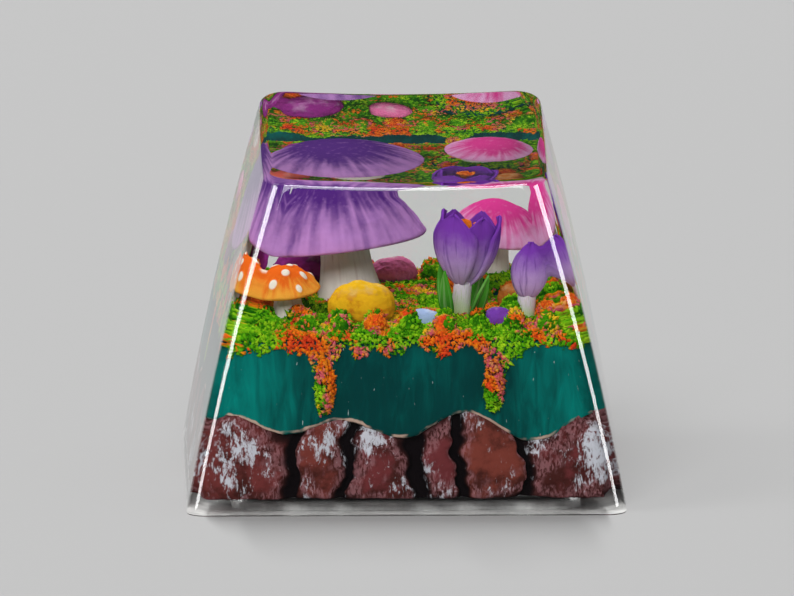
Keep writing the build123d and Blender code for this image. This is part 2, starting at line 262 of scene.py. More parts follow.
class Tree:
    """A Geometry Nodes tree that is built in code and run once on a mesh."""

    def __init__(self, name: str, inputs: dict[str, tuple[str, Any]]) -> None:
        """Starts a tree.

        Args:
            name: The tree's name.
            inputs: Its named inputs, each with a kind of socket and a default.
        """
        self.group = bpy.data.node_groups.new(name, "GeometryNodeTree")
        face = self.group.interface
        face.new_socket("Geometry", in_out="INPUT", socket_type="NodeSocketGeometry")
        self.identifiers: dict[str, str] = {}
        for label, (kind, value) in inputs.items():
            socket = face.new_socket(label, in_out="INPUT", socket_type=f"NodeSocket{kind}")
            if value is not None:
                socket.default_value = value
            self.identifiers[label] = socket.identifier
        face.new_socket("Geometry", in_out="OUTPUT", socket_type="NodeSocketGeometry")
        self.start = self.group.nodes.new("NodeGroupInput")
        self.end = self.group.nodes.new("NodeGroupOutput")

    def input(self, label: str) -> bpy.types.NodeSocket:
        """The output socket of one of the tree's named inputs."""
        return self.start.outputs[label]

    def node(
        self,
        kind: str,
        settings: Optional[dict[str, Any]] = None,
        values: Optional[dict[Any, Any]] = None,
    ) -> bpy.types.Node:
        """Adds a node.

        Args:
            kind: The node's type, without its GeometryNode prefix where it has one.
            settings: Its settings.
            values: Its inputs by name or number, as sockets or constants.

        Returns:
            The node.
        """
        name = kind if kind.startswith(("Function", "Shader")) else f"GeometryNode{kind}"
        made = self.group.nodes.new(name)
        for key, value in (settings or {}).items():
            setattr(made, key, value)
        for key, value in (values or {}).items():
            if isinstance(value, bpy.types.NodeSocket):
                self.group.links.new(value, made.inputs[key])
            else:
                made.inputs[key].default_value = value
        return made

    def calc(self, operation: str, first: Any, second: Any) -> bpy.types.NodeSocket:
        """The result of a Math node on two sockets or numbers."""
        return self.node("ShaderNodeMath", {"operation": operation}, {0: first, 1: second}).outputs[0]

    def chance(self, low: Any, high: Any, kind: str = "FLOAT") -> bpy.types.NodeSocket:
        """A random value for each point or copy.

        Args:
            low: The least value, as a socket or a constant.
            high: The greatest value.
            kind: FLOAT or FLOAT_VECTOR.

        Returns:
            The socket that carries it.
        """
        first, output = (2, 1) if kind == "FLOAT" else (0, 0)
        values = {first: low, first + 1: high, "Seed": self.input("Seed")}
        return self.node("FunctionNodeRandomValue", {"data_type": kind}, values).outputs[output]

    def close(self, geometry: bpy.types.NodeSocket) -> None:
        """Ends the tree in Realize Instances, smooth shading and Set Material."""
        real = self.node("RealizeInstances", None, {"Geometry": geometry})
        smooth = self.node("SetShadeSmooth", None, {"Geometry": real.outputs[0]})
        values = {"Geometry": smooth.outputs[0], "Material": self.input("Material")}
        painted = self.node("SetMaterial", None, values)
        self.group.links.new(painted.outputs[0], self.end.inputs[0])

    def run(self, piece: bpy.types.Object, **values: Any) -> bpy.types.Object:
        """Runs the tree on an object and leaves its result there as a plain mesh.

        Args:
            piece: The object whose mesh goes in.
            values: The tree's inputs by name.

        Returns:
            The same object.
        """
        modifier = piece.modifiers.new(self.group.name, "NODES")
        modifier.node_group = self.group
        for label, value in values.items():
            modifier[self.identifiers[label]] = value
        return applied(piece)


def applied(piece: bpy.types.Object) -> bpy.types.Object:
    """Turns an object's modifiers into its mesh.

    Args:
        piece: An object with modifiers.

    Returns:
        The same object, with a plain mesh and no modifier.
    """
    bpy.context.view_layer.update()
    graph = bpy.context.evaluated_depsgraph_get()
    mesh = bpy.data.meshes.new_from_object(piece.evaluated_get(graph))
    piece.modifiers.clear()
    piece.data = mesh
    return piece


def new_piece(name: str, points: Iterable[Sequence[float]], faces: Sequence[Sequence[int]]) -> bpy.types.Object:
    """Makes a smooth mesh object from points in millimetres.

    Args:
        name: The object's name.
        points: Its vertices.
        faces: Its faces as vertex numbers.

    Returns:
        The object, linked to the scene.
    """
    mesh = bpy.data.meshes.new(name)
    mesh.from_pydata([Vector(p) * MM for p in points], [], faces)
    mesh.polygons.foreach_set("use_smooth", [True] * len(mesh.polygons))
    piece = bpy.data.objects.new(name, mesh)
    bpy.context.scene.collection.objects.link(piece)
    return piece


def tidy_mesh(piece: bpy.types.Object, reach: float = 1e-4) -> None:
    """Merges doubles and turns every face outwards.

    Args:
        piece: The object to tidy.
        reach: How near doubles lie, in millimetres.
    """
    work = bmesh.new()
    work.from_mesh(piece.data)
    bmesh.ops.remove_doubles(work, verts=work.verts, dist=reach * MM)
    bmesh.ops.recalc_face_normals(work, faces=work.faces)
    work.to_mesh(piece.data)
    work.free()


def joined(name: str, pieces: Sequence[bpy.types.Object]) -> bpy.types.Object:
    """Joins objects into one.

    Args:
        name: The name of the result.
        pieces: The objects, of which the first is kept.

    Returns:
        The joined object.
    """
    with bpy.context.temp_override(active_object=pieces[0], selected_editable_objects=list(pieces)):
        bpy.ops.object.join()
    pieces[0].name = name
    return pieces[0]


def vertex_data(piece: bpy.types.Object, field: str) -> np.ndarray:
    """One vector for each vertex of an object.

    Args:
        piece: The object.
        field: The vertices' property.

    Returns:
        The vectors in rows.
    """
    flat = np.empty(3 * len(piece.data.vertices), np.float32)
    piece.data.vertices.foreach_get(field, flat)
    return flat.reshape(-1, 3).astype(float)


def positions(piece: bpy.types.Object) -> np.ndarray:
    """The vertices of an object in millimetres."""
    return vertex_data(piece, "co") / MM


def normals(piece: bpy.types.Object) -> np.ndarray:
    """The vertex normals of an object."""
    return vertex_data(piece, "normal")


def move_points(piece: bpy.types.Object, points: np.ndarray) -> None:
    """Sets the vertices of an object from millimetres."""
    piece.data.vertices.foreach_set("co", (points * MM).astype(np.float32).ravel())
    piece.data.update()


def settle(piece: bpy.types.Object, where: Matrix) -> None:
    """Puts the mesh of a piece made at the origin in place.

    Args:
        piece: The object.
        where: Its place, in millimetres.
    """
    scaled = where.copy()
    scaled.translation = where.translation * MM
    piece.data.transform(scaled)
    piece.data.update()


def store(piece: bpy.types.Object, name: str, values: Iterable[float]) -> None:
    """Keeps one number for each vertex as an attribute of that name."""
    layer = piece.data.attributes.new(name, "FLOAT", "POINT")
    layer.data.foreach_set("value", np.asarray(list(values), np.float32))


def fractal(points: np.ndarray, scale: float, octaves: int = 4) -> np.ndarray:
    """Fractal noise of about -1 to 1 at points in millimetres, by features for each millimetre and octaves."""
    return np.array([noise.fractal(Vector(p) * scale, 0.9, 2.0, octaves) for p in points])


def unit_ball(subdivisions: int) -> tuple[np.ndarray, np.ndarray]:
    """An even ball of radius 1.

    Args:
        subdivisions: How often its faces are split.

    Returns:
        Its vertices and its faces.
    """
    work = bmesh.new()
    bmesh.ops.create_icosphere(work, subdivisions=subdivisions, radius=1.0)
    points = np.array([v.co[:] for v in work.verts])
    faces = np.array([[v.index for v in face.verts] for face in work.faces])
    work.free()
    return points, faces


def turned(name: str, profile: Sequence[Spot], steps: int) -> bpy.types.Object:
    """Turns a profile about the Z axis.

    Args:
        name: The object's name.
        profile: Radius and height of each ring, from the first pole to the last.
        steps: Points in each ring.

    Returns:
        The mesh, with each pole merged to a point.
    """
    points = [
        (radius * math.cos(turn), radius * math.sin(turn), height)
        for radius, height in profile
        for turn in (2 * math.pi * step / steps for step in range(steps))
    ]
    faces = [
        (ring * steps + step, ring * steps + (step + 1) % steps,
         (ring + 1) * steps + (step + 1) % steps, (ring + 1) * steps + step)
        for ring in range(len(profile) - 1)
        for step in range(steps)
    ]
    piece = new_piece(name, points, faces)
    tidy_mesh(piece, 4 * POLE)
    return piece


def grid_faces(rows: int, columns: int) -> list[tuple[int, ...]]:
    """The faces of an open grid over vertices that are numbered row by row."""
    wide = columns + 1
    return [
        (row * wide + c, row * wide + c + 1, (row + 1) * wide + c + 1, (row + 1) * wide + c)
        for row in range(rows)
        for c in range(columns)
    ]


def band_faces(rows: int, count: int) -> list[tuple[int, ...]]:
    """The faces of a closed band over loops of count points that are numbered one after another."""
    return [
        (row * count + step, (row + 1) * count + step,
         (row + 1) * count + (step + 1) % count, row * count + (step + 1) % count)
        for row in range(rows)
        for step in range(count)
    ]


def at_height(flat: np.ndarray, height: float) -> np.ndarray:
    """A flat loop at a height."""
    return np.column_stack([flat, np.full(len(flat), height)])


def arc(centre: Spot, start: Spot, turn: float, steps: int) -> list[Spot]:
    """Points on a circle in a profile.

    Args:
        centre: The circle's centre.
        start: The first point.
        turn: Angle that the arc covers, in radians, turning from X to Z.
        steps: Number of steps.

    Returns:
        The points, from the start to the end.
    """
    across, rise = start[0] - centre[0], start[1] - centre[1]
    turns = [turn * step / steps for step in range(steps + 1)]
    return [
        (centre[0] + across * math.cos(a) - rise * math.sin(a), centre[1] + across * math.sin(a) + rise * math.cos(a))
        for a in turns
    ]


def arc_through(start: Spot, middle: Spot, end: Spot, steps: int) -> list[Spot]:
    """Points on the circle through three points.

    Args:
        start: The first point.
        middle: A point on the way.
        end: The last point.
        steps: Number of steps.

    Returns:
        The points, from the start to the end.
    """
    (ax, ay), (bx, by), (cx, cy) = start, middle, end
    twice = 2 * (ax * (by - cy) + bx * (cy - ay) + cx * (ay - by))
    squares = [x * x + y * y for x, y in (start, middle, end)]
    centre = (
        (squares[0] * (by - cy) + squares[1] * (cy - ay) + squares[2] * (ay - by)) / twice,
        (squares[0] * (cx - bx) + squares[1] * (ax - cx) + squares[2] * (bx - ax)) / twice,
    )
    angles = [math.atan2(y - centre[1], x - centre[0]) for x, y in (start, middle, end)]
    turn = (angles[2] - angles[0]) % (2 * math.pi)
    if (angles[1] - angles[0]) % (2 * math.pi) > turn:
        turn -= 2 * math.pi
    return arc(centre, start, turn, steps)


def rounded_loop(
    half_width: float, half_depth: float, radius: float, corner_steps: int, side_steps: int
) -> np.ndarray:
    """A rounded rectangle.

    Args:
        half_width: Half its width.
        half_depth: Half its depth.
        radius: Radius of its corners.
        corner_steps: Steps round each corner.
        side_steps: Steps along each side.

    Returns:
        Its points, anticlockwise from the front right corner, as many for any size.
    """
    arcs = []
    for right, up, first in ((1, -1, -90), (1, 1, 0), (-1, 1, 90), (-1, -1, 180)):
        angles = np.radians(first + 90 * np.arange(corner_steps + 1) / corner_steps)
        middle = np.array([right * (half_width - radius), up * (half_depth - radius)])
        arcs.append(middle + radius * np.column_stack([np.cos(angles), np.sin(angles)]))
    parts = []
    for number, bend in enumerate(arcs):
        start, end = bend[-1], arcs[(number + 1) % 4][0]
        shares = np.arange(1, side_steps)[:, None] / side_steps
        parts += [bend, start + shares * (end - start)]
    return np.concatenate(parts)


def skin_of_loops(
    name: str, loops: Sequence[np.ndarray], low: Sequence[float], high: Sequence[float]
) -> bpy.types.Object:
    """Joins loops of points into a closed mesh.

    Args:
        name: The object's name.
        loops: Loops of as many points each, in order over the surface.
        low: The point that closes the first loop.
        high: The point that closes the last loop.

    Returns:
        The object, with its vertices in the order of the loops and the two points last.
    """
    count, total = len(loops[0]), len(loops) * len(loops[0])
    faces: list[tuple[int, ...]] = []
    for step in range(count):
        ahead = (step + 1) % count
        for ring in range(len(loops) - 1):
            one, two = ring * count, (ring + 1) * count
            faces.append((one + step, one + ahead, two + ahead, two + step))
        faces.append((ahead, step, total))
        faces.append((total - count + step, total - count + ahead, total + 1))
    return new_piece(name, np.concatenate([*loops, [low], [high]]), faces)


def finish_piece(
    piece: bpy.types.Object, slot: str, *nodes: str,
    paint: Optional[bpy.types.Material] = None, where: Optional[Matrix] = None,
) -> None:
    """Paints a piece, sets it on the body and says what it stands for.

    Args:
        piece: The finished object.
        slot: The record's material slot. Not used.
        nodes: The CAD nodes that it replaces.
        paint: Its material, unless it has one.
        where: Its place in millimetres, if it was made at the origin.
    """
    if where is not None:
        settle(piece, where)
    if paint is not None:
        piece.data.materials.append(paint)
    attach(piece, BODY)
    if nodes:
        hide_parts(*nodes)
    LOG.info("%s: %d faces, stands for %s", piece.name, len(piece.data.polygons), ", ".join(nodes) or "nothing")


@dataclass(frozen=True)
class CastingShape:
    """The sizes that the clear casting shares with the garden inside it."""

    base_width: float = 18.4
    base_depth: float = 18.4
    top_width: float = 11.7
    top_depth: float = 13.2
    setback: float = 2.45
    front_height: float = 13.85
    back_height: float = 15.4
    plateau: float = 7.1

    def slope(self, side: Side) -> float:
        """How far a side leans in for each millimetre of height."""
        if side is Side.FRONT:
            return self.setback / self.front_height
        if side is Side.BACK:
            return (self.base_depth - self.setback - self.top_depth) / self.back_height
        return (self.base_width - self.top_width) / (self.front_height + self.back_height)

    def reach(self, side: Side, height: float) -> float:
        """How far a side lies from the middle at a height, without its swell."""
        span = self.base_depth if side in (Side.FRONT, Side.BACK) else self.base_width
        return span / 2 - self.slope(side) * height

    def span(self, side: Side, height: float) -> float:
        """The length of a side at a height."""
        ends = (Side.RIGHT, Side.RIGHT) if side in (Side.FRONT, Side.BACK) else (Side.FRONT, Side.BACK)
        return sum(self.reach(end, height) for end in ends)

    def outline(self, inset: float, height: float, radius: float, corner_steps: int, side_steps: int) -> np.ndarray:
        """A loop inside the walls at one height.

        Args:
            inset: Distance inside the walls.
            height: Its height.
            radius: Radius of its corners.
            corner_steps: Steps round each corner.
            side_steps: Steps along each side.

        Returns:
            Its points in X and Y.
        """
        front, back = self.reach(Side.FRONT, height) - inset, self.reach(Side.BACK, height) - inset
        half = self.reach(Side.RIGHT, height) - inset
        plan = rounded_loop(half, (front + back) / 2, radius, corner_steps, side_steps)
        return plan + np.array([0.0, (back - front) / 2])

    def wall_loop(
        self, inset: float, heights: np.ndarray, radius: float, corner_steps: int, side_steps: int
    ) -> np.ndarray:
        """A loop inside the walls whose points each have their own height."""
        low, high = (self.outline(inset, h, radius, corner_steps, side_steps) for h in (0.0, 1.0))
        return np.column_stack([low + (high - low) * heights[:, None], heights])

    def spot(self, share: Spot) -> Spot:
        """The place on the plateau at shares of its half width and half depth."""
        front, back = -self.reach(Side.FRONT, self.plateau), self.reach(Side.BACK, self.plateau)
        half = self.reach(Side.RIGHT, self.plateau)
        return share[0] * half, (front + back) / 2 + share[1] * (back - front) / 2

    def side_of(self, x: float, y: float, height: float) -> tuple[Side, float]:
        """The side that a place lies nearest to.

        Args:
            x: Its place across.
            y: Its place from front to back.
            height: The height at which the sides are taken.

        Returns:
            The side, and how far along it the place lies from the side's middle.
        """
        ways = {Side.FRONT: (-y, x), Side.RIGHT: (x, y), Side.BACK: (y, -x), Side.LEFT: (-x, -y)}
        side = max(ways, key=lambda way: ways[way][0] - self.reach(way, height))
        return side, ways[side][1]

    def standing(self, share: Spot, lean: Spot, rise: float = 0.0) -> Matrix:
        """The frame of a figure by its share of the plateau, its lean in degrees and its ground's rise."""
        turn = Matrix.Rotation(math.radians(lean[0]), 4, "X") @ Matrix.Rotation(math.radians(lean[1]), 4, "Y")
        return Matrix.Translation((*self.spot(share), self.plateau + rise)) @ turn


@dataclass(frozen=True)
class DrapeEdge:
    """The wavy lower edge of the terrain."""

    level: float = 3.55
    wave: float = 0.42
    sway: float = 0.18
    waves: int = 3
    wall: float = 0.7

    def height(self, side: Side, along: float) -> float:
        """The edge's height at a distance along a side."""
        half = CASTING.span(side, self.level) / 2 - self.wall
        share = max(-1.0, min(1.0, along / half))
        swing = -self.wave * math.cos(self.waves * math.pi * share) + self.sway * math.sin(2 * math.pi * share)
        return self.level + swing

    def heights(self, plan: np.ndarray) -> np.ndarray:
        """The edge's height below each point of a loop in X and Y."""
        return np.array([self.height(*CASTING.side_of(x, y, self.level)) for x, y in plan])


@dataclass(frozen=True)
class HollowShape:
    """The drafted hollow underneath, which the casting and the rock share."""

    wall: float = 1.9
    depth: float = 4.6
    draft: float = 6.0
    corner: float = 1.2

    def ring(self, height: float, out: float, corner_steps: int, side_steps: int) -> np.ndarray:
        """A loop of the hollow at a height, moved out by a distance."""
        half = CASTING.base_width / 2 - self.wall - height * math.tan(math.radians(self.draft)) + out
        return at_height(rounded_loop(half, half, self.corner, corner_steps, side_steps), height)


CASTING = CastingShape()
DRAPE = DrapeEdge()
HOLLOW = HollowShape()


@dataclass(frozen=True)
class ClearResin:
    """Polished clear casting resin with a sanded foot."""

    index: float = 1.5
    tint: Colour = (0.99, 0.995, 0.99)
    sanded: Colour = (0.90, 0.90, 0.88)

    def material(self) -> bpy.types.Material:
        """Makes the resin, with the faint unevenness of a hand polish."""
        paint = Paint("clear_resin")
        paint.set(Base_Color=self.tint, IOR=self.index, Transmission_Weight=1.0)
        paint.set(Roughness=paint.grain(0.5, 2.0) * 0.012)
        matt = paint.node("ShaderNodeBsdfPrincipled", None, {"Base Color": self.sanded, "Roughness": 0.8})
        worn = paint.mark("foot").step(0.3, 0.7) * (0.62 + 0.36 * paint.grain(0.7, 4.0).step(0.35, 0.65))
        both = paint.node("ShaderNodeMixShader", None, {0: worn, 1: Wire(paint, paint.shader.outputs[0]), 2: matt})
        output = next(n for n in paint.tree.nodes if n.type == "OUTPUT_MATERIAL")
        paint.feed(output.inputs["Surface"], both)
        return paint.material


@dataclass(frozen=True)
class RockPaint:
    """Red-brown paint on cast rock, darkened as painted shade deep in the cracks and scuffed white on the faces."""

    brown: Colour = (0.215, 0.050, 0.032)
    maroon: Colour = (0.150, 0.030, 0.036)
    umber: Colour = (0.050, 0.014, 0.011)
    mauve: Colour = (0.34, 0.15, 0.165)
    # Near black, painted where the rock lies deep in a crack, as painted shade.
    shade: Colour = (0.006, 0.004, 0.005)
    chalk: Colour = (0.64, 0.67, 0.74)

    def material(self) -> bpy.types.Material:
        """Makes the paint from each boulder's own tone, from its depth, which paints shade into the cracks, and from
        noise.
        """
        paint = Paint("rock_paint")
        crack, tone = paint.mark("crack"), paint.mark("tone")
        patch = paint.grain(0.8, 5.0)
        base = paint.blend(tone, self.brown, self.maroon)
        # Umber in noisy patches, drawn a little deeper into the cracks, where it is partly painted shade.
        base = paint.blend((patch + crack * 0.35).step(0.44, 0.66) * 0.9, base, self.umber)
        base = paint.blend(paint.grain(1.3, 4.0, (1.0, 1.0, 0.6)).step(0.56, 0.74) * 0.55, base, self.mauve)
        # Painted shade: the deeper the rock lies behind the boulders' faces, the nearer to black it is painted.
        base = paint.blend((crack + patch * 0.3).step(0.35, 0.92), base, self.shade)
        feather = paint.grain(1.9, 12.0, (1.7, 1.7, 0.55), 1.3)
        dust = paint.grain(5.5, 8.0, (1.5, 1.5, 0.6), 0.6)
        bare = paint.grain(0.55, 3.0, (1.0, 1.0, 0.8))
        veins = 1.0 - abs(feather - 0.5) * 2.0
        white = bare.step(0.40, 0.70) * 0.36 + veins * 0.5 + dust * 0.8
        face = 1.0 - crack.step(0.5, 0.85)
        edge = crack.step(0.12, 0.26) - crack.step(0.34, 0.52)
        base = paint.blend(edge * dust.step(0.40, 0.58) * 0.65, base, self.mauve)
        base = paint.blend(white.step(1.00, 1.19) * face * 0.88, base, self.chalk)
        return paint.coat(base, 0.4 + 0.35 * patch, paint.grain(4.0, 6.0) * 0.6 + feather * 0.4, 0.06)


@dataclass(frozen=True)
class TealPaint:
    """Teal paint brushed down the terrain, painted lighter towards the corners as painted light and so darker in the
    middle of a side, with a broken cream line below.
    """

    deep: Colour = (0.0010, 0.048, 0.046)
    teal: Colour = (0.0015, 0.270, 0.225)
    cream: Colour = (0.66, 0.46, 0.36)
    chalk: Colour = (0.60, 0.70, 0.70)

    def material(self) -> bpy.types.Material:
        """Makes the paint from the terrain's own edge, from its corners, where it paints light, and from brushed noise.
        """
        paint = Paint("teal_paint")
        rim, corner = paint.mark("rim"), paint.mark("corner")
        stroke = paint.grain(1.5, 5.0, (1.5, 1.5, 0.16), 0.6)
        broad = paint.grain(0.26, 2.0)
        # Painted light: the corner mark lightens the teal towards each corner, over the brushed and broad noise.
        light = stroke * 0.42 + broad * 0.40 + corner * corner * 0.23
        base = paint.blend(light.step(0.38, 0.86), self.deep, self.teal)
        scratch = paint.grain(2.6, 2.0, (3.4, 3.4, 0.55)).step(0.725, 0.765)
        base = paint.blend(scratch * 0.7, base, self.chalk)
        line = (rim + paint.grain(2.2, 4.0) * 0.6).step(0.82, 1.0) * paint.grain(0.5, 3.0).step(0.42, 0.52)
        base = paint.blend(line * 0.9, base, self.cream)
        return paint.coat(base, 0.3 + 0.25 * stroke, stroke * 0.8 + paint.grain(5.0, 4.0) * 0.2, 0.05)


@dataclass(frozen=True)
class Flock:
    """Dyed flock, each crumb of its own shade, with patches of blossom colours among it."""

    name: str
    dark: Colour
    middle: Colour
    light: Colour
    blossom: float
    blossoms: tuple[Colour, ...] = (
        (0.86, 0.075, 0.020), (1.0, 0.185, 0.012), (0.95, 0.30, 0.012), (0.72, 0.085, 0.20), (0.95, 0.58, 0.02),
    )

    def material(self) -> bpy.types.Material:
        """Makes the flock from the shade and blossom that each crumb carries and from patchy noise."""
        paint = Paint(self.name)
        shade, bloom = paint.mark("shade"), paint.mark("bloom")
        # Crumbs take a random shade; the kept ground under them has none and so is painted dark, as painted shade
        # between the crumbs.
        tuft = shade * 0.62 + paint.grain(1.1, 2.0).step(0.35, 0.65) * 0.38
        leaf = paint.ramp(tuft, (0.0, self.dark), (0.5, self.middle), (1.0, self.light))
        hue = paint.grain(0.75, 1.0, (1.0, 1.0, 0.7)) + (shade - 0.5) * 0.16
        petals = paint.ramp(hue, *zip((0.36, 0.44, 0.52, 0.60, 0.68), self.blossoms))
        patch = paint.grain(0.6, 3.0) + (shade - 0.5) * 0.14 + bloom
        colour = paint.blend(patch.step(self.blossom, self.blossom + 0.03), leaf, petals)
        speck = paint.grain(9.0, 3.0)
        colour = paint.blend(speck.step(0.35, 0.6) * 0.25, colour, (0.10, 0.10, 0.05), "MULTIPLY")
        return paint.coat(colour, 0.8 + 0.15 * speck, speck, 0.03)


@dataclass(frozen=True)
class CapPaint:
    """Airbrushed paint on a toadstool's cap, streaked from its crown to a paler rim."""

    name: str
    crown: Colour
    rim: Colour
    wart: Colour

    def material(self) -> bpy.types.Material:
        """Makes the paint from the cap's own rings, streaks and warts."""
        paint = Paint(self.name)
        ring, streak, wart = paint.mark("ring"), paint.mark("streak"), paint.mark("wart")
        mottle = paint.grain(1.2, 5.0)
        base = paint.blend((ring + mottle * 0.35 + streak * 0.28).step(0.68, 1.32), self.crown, self.rim)
        base = paint.blend(paint.grain(3.5, 4.0).step(0.52, 0.75) * 0.25, base, self.rim)
        base = paint.blend(wart.step(0.25, 0.6), base, self.wart)
        return paint.coat(base, 0.36 + 0.2 * mottle, paint.grain(5.0, 4.0), 0.03)


@dataclass(frozen=True)
class StreakPaint:
    """Paint on a stalk, leaf or petal, streaked along its length."""

    name: str
    foot: Colour
    tip: Colour
    streak: Colour
    across: float = 9.0

    def material(self) -> bpy.types.Material:
        """Makes the paint from the piece's own length and breadth."""
        paint = Paint(self.name)
        along, side = paint.mark("along"), paint.mark("side")
        fibre = paint.node("ShaderNodeTexNoise", None, {
            "Vector": paint.node("ShaderNodeCombineXYZ", None, {0: side, 1: along * 0.25}),
            "Scale": self.across, "Detail": 4.0, "Roughness": 0.6,
        })
        base = paint.blend((along + paint.grain(2.0, 3.0) * 0.3).step(0.25, 1.0), self.foot, self.tip)
        base = paint.blend(fibre.step(0.50, 0.72) * 0.75, base, self.streak)
        return paint.coat(base, 0.42 + 0.2 * fibre, fibre * 0.7 + paint.grain(6.0, 3.0) * 0.3, 0.025)


@dataclass(frozen=True)
class StonePaint:
    """Paint on a small stone, mottled, with painted shade towards its foot and a painted highlight on its top."""

    name: str
    colour: Colour
    mottle_and_foot_shade: Colour
    pale: Colour

    def material(self) -> bpy.types.Material:
        """Makes the paint from the stone's own height, which sets its painted shade and highlight, and from noise."""
        paint = Paint(self.name)
        height = paint.mark("height")
        mottle = paint.grain(1.6, 6.0)
        base = paint.blend(mottle.step(0.48, 0.72), self.colour, self.mottle_and_foot_shade)
        # Painted shade: the stone is painted darker towards its foot, where it is bedded.
        base = paint.blend((1.0 - height).step(0.45, 1.0) * 0.7, base, self.mottle_and_foot_shade)
        # Painted highlight: the top of the stone is painted paler in mottled patches.
        base = paint.blend((height * mottle).step(0.38, 0.6) * 0.6, base, self.pale)
        return paint.coat(base, 0.45 + 0.3 * mottle, paint.grain(3.5, 6.0), 0.05)


@dataclass(frozen=True)
class StemPlastic:
    """Off-white moulded plastic of the stem."""

    colour: Colour = (0.78, 0.78, 0.75)
    worn: Colour = (0.70, 0.70, 0.67)

    def material(self) -> bpy.types.Material:
        """Makes the plastic with a fine moulded grain."""
        paint = Paint("stem_plastic")
        grain = paint.grain(6.0, 3.0)
        paint.set(Base_Color=paint.blend(grain, self.colour, self.worn), Roughness=0.4 + 0.15 * grain)
        paint.bump(grain, 0.01)
        return paint.material


def ring_tree() -> Tree:
    """A tree that copies its mesh round the Z axis.

    Returns:
        The tree, with the inputs Count, Lean, Shrink, Seed and Material.
    """
    tree = Tree("ring_of_copies", {
        "Count": ("Int", 6), "Lean": ("Float", 0.0), "Shrink": ("Float", 0.0), "Seed": ("Int", 1),
        "Material": ("Material", None),
    })
    spots = tree.node("MeshLine", None, {"Count": tree.input("Count"), "Offset": (0.0, 0.0, 0.0)})
    share = tree.calc("DIVIDE", tree.node("InputIndex").outputs[0], tree.input("Count"))
    lean = tree.chance(tree.calc("MULTIPLY", tree.input("Lean"), -1.0), tree.input("Lean"))
    angles = tree.node("ShaderNodeCombineXYZ", None, {0: lean, 2: tree.calc("MULTIPLY", share, 2 * math.pi)})
    least = tree.calc("SUBTRACT", 1.0, tree.input("Shrink"))
    copies = tree.node("InstanceOnPoints", None, {
        "Points": spots.outputs[0], "Instance": tree.input("Geometry"),
        "Rotation": angles.outputs[0], "Scale": tree.chance(least, 1.0),
    })
    tree.close(copies.outputs[0])
    return tree


def flock_tree() -> Tree:
    """A tree that covers its mesh with small crumbs, each of its own shape and shade.

    Returns:
        The tree, with the inputs Density, Least, Most, Seed, Keep and Material.
    """
    tree = Tree("flock_of_crumbs", {
        "Density": ("Float", 1e7), "Least": ("Float", 1e-4), "Most": ("Float", 2e-4), "Seed": ("Int", 1),
        "Keep": ("Bool", False), "Material": ("Material", None),
    })
    height = tree.node("ShaderNodeSeparateXYZ", None, {0: tree.node("InputNormal").outputs[0]})
    upper = tree.node("FunctionNodeCompare", {"operation": "GREATER_THAN"}, {
        0: height.outputs[2], 1: LEAST_FACING,
    })
    spread = tree.node("DistributePointsOnFaces", {"distribute_method": "RANDOM"}, {
        "Mesh": tree.input("Geometry"), "Selection": upper.outputs[0], "Density": tree.input("Density"),
        "Seed": tree.input("Seed"),
    })
    crumb = tree.node("MeshUVSphere", None, {"Segments": 4, "Rings": 2, "Radius": 1.0})
    squash = tree.chance(*CRUMB_SQUASH, "FLOAT_VECTOR")
    size = tree.chance(tree.input("Least"), tree.input("Most"))
    scale = tree.node("ShaderNodeVectorMath", {"operation": "SCALE"}, {0: squash, "Scale": size})
    copies = tree.node("InstanceOnPoints", None, {
        "Points": spread.outputs[0], "Instance": crumb.outputs[0],
        "Rotation": tree.chance(*CRUMB_TURN, "FLOAT_VECTOR"), "Scale": scale.outputs[0],
    })
    marked = tree.node("StoreNamedAttribute", {"data_type": "FLOAT", "domain": "INSTANCE"}, {
        "Geometry": copies.outputs[0], "Name": "shade", "Value": tree.chance(0.0, 1.0),
    })
    real = tree.node("RealizeInstances", None, {"Geometry": marked.outputs[0]})
    ruffle = tree.node("ShaderNodeTexNoise", None, {"Scale": RUFFLE_SCALE, "Detail": 1.0})
    offset = tree.node("ShaderNodeVectorMath", {"operation": "SUBTRACT"}, {0: ruffle.outputs["Color"], 1: (0.5,) * 3})
    shake = tree.node("ShaderNodeVectorMath", {"operation": "SCALE"}, {0: offset.outputs[0], "Scale": CRUMB_RUFFLE})
    shaken = tree.node("SetPosition", None, {"Geometry": real.outputs[0], "Offset": shake.outputs[0]})
    # With Keep the mesh itself stays under the crumbs; it has no shade mark, so its paint takes the dark end of the
    # ramp as painted shade.
    ground = tree.node("Switch", {"input_type": "GEOMETRY"}, {0: tree.input("Keep"), 2: tree.input("Geometry")})
    whole = tree.node("JoinGeometry")
    for part in (shaken, ground):
        tree.group.links.new(part.outputs[0], whole.inputs[0])
    tree.close(whole.outputs[0])
    return tree


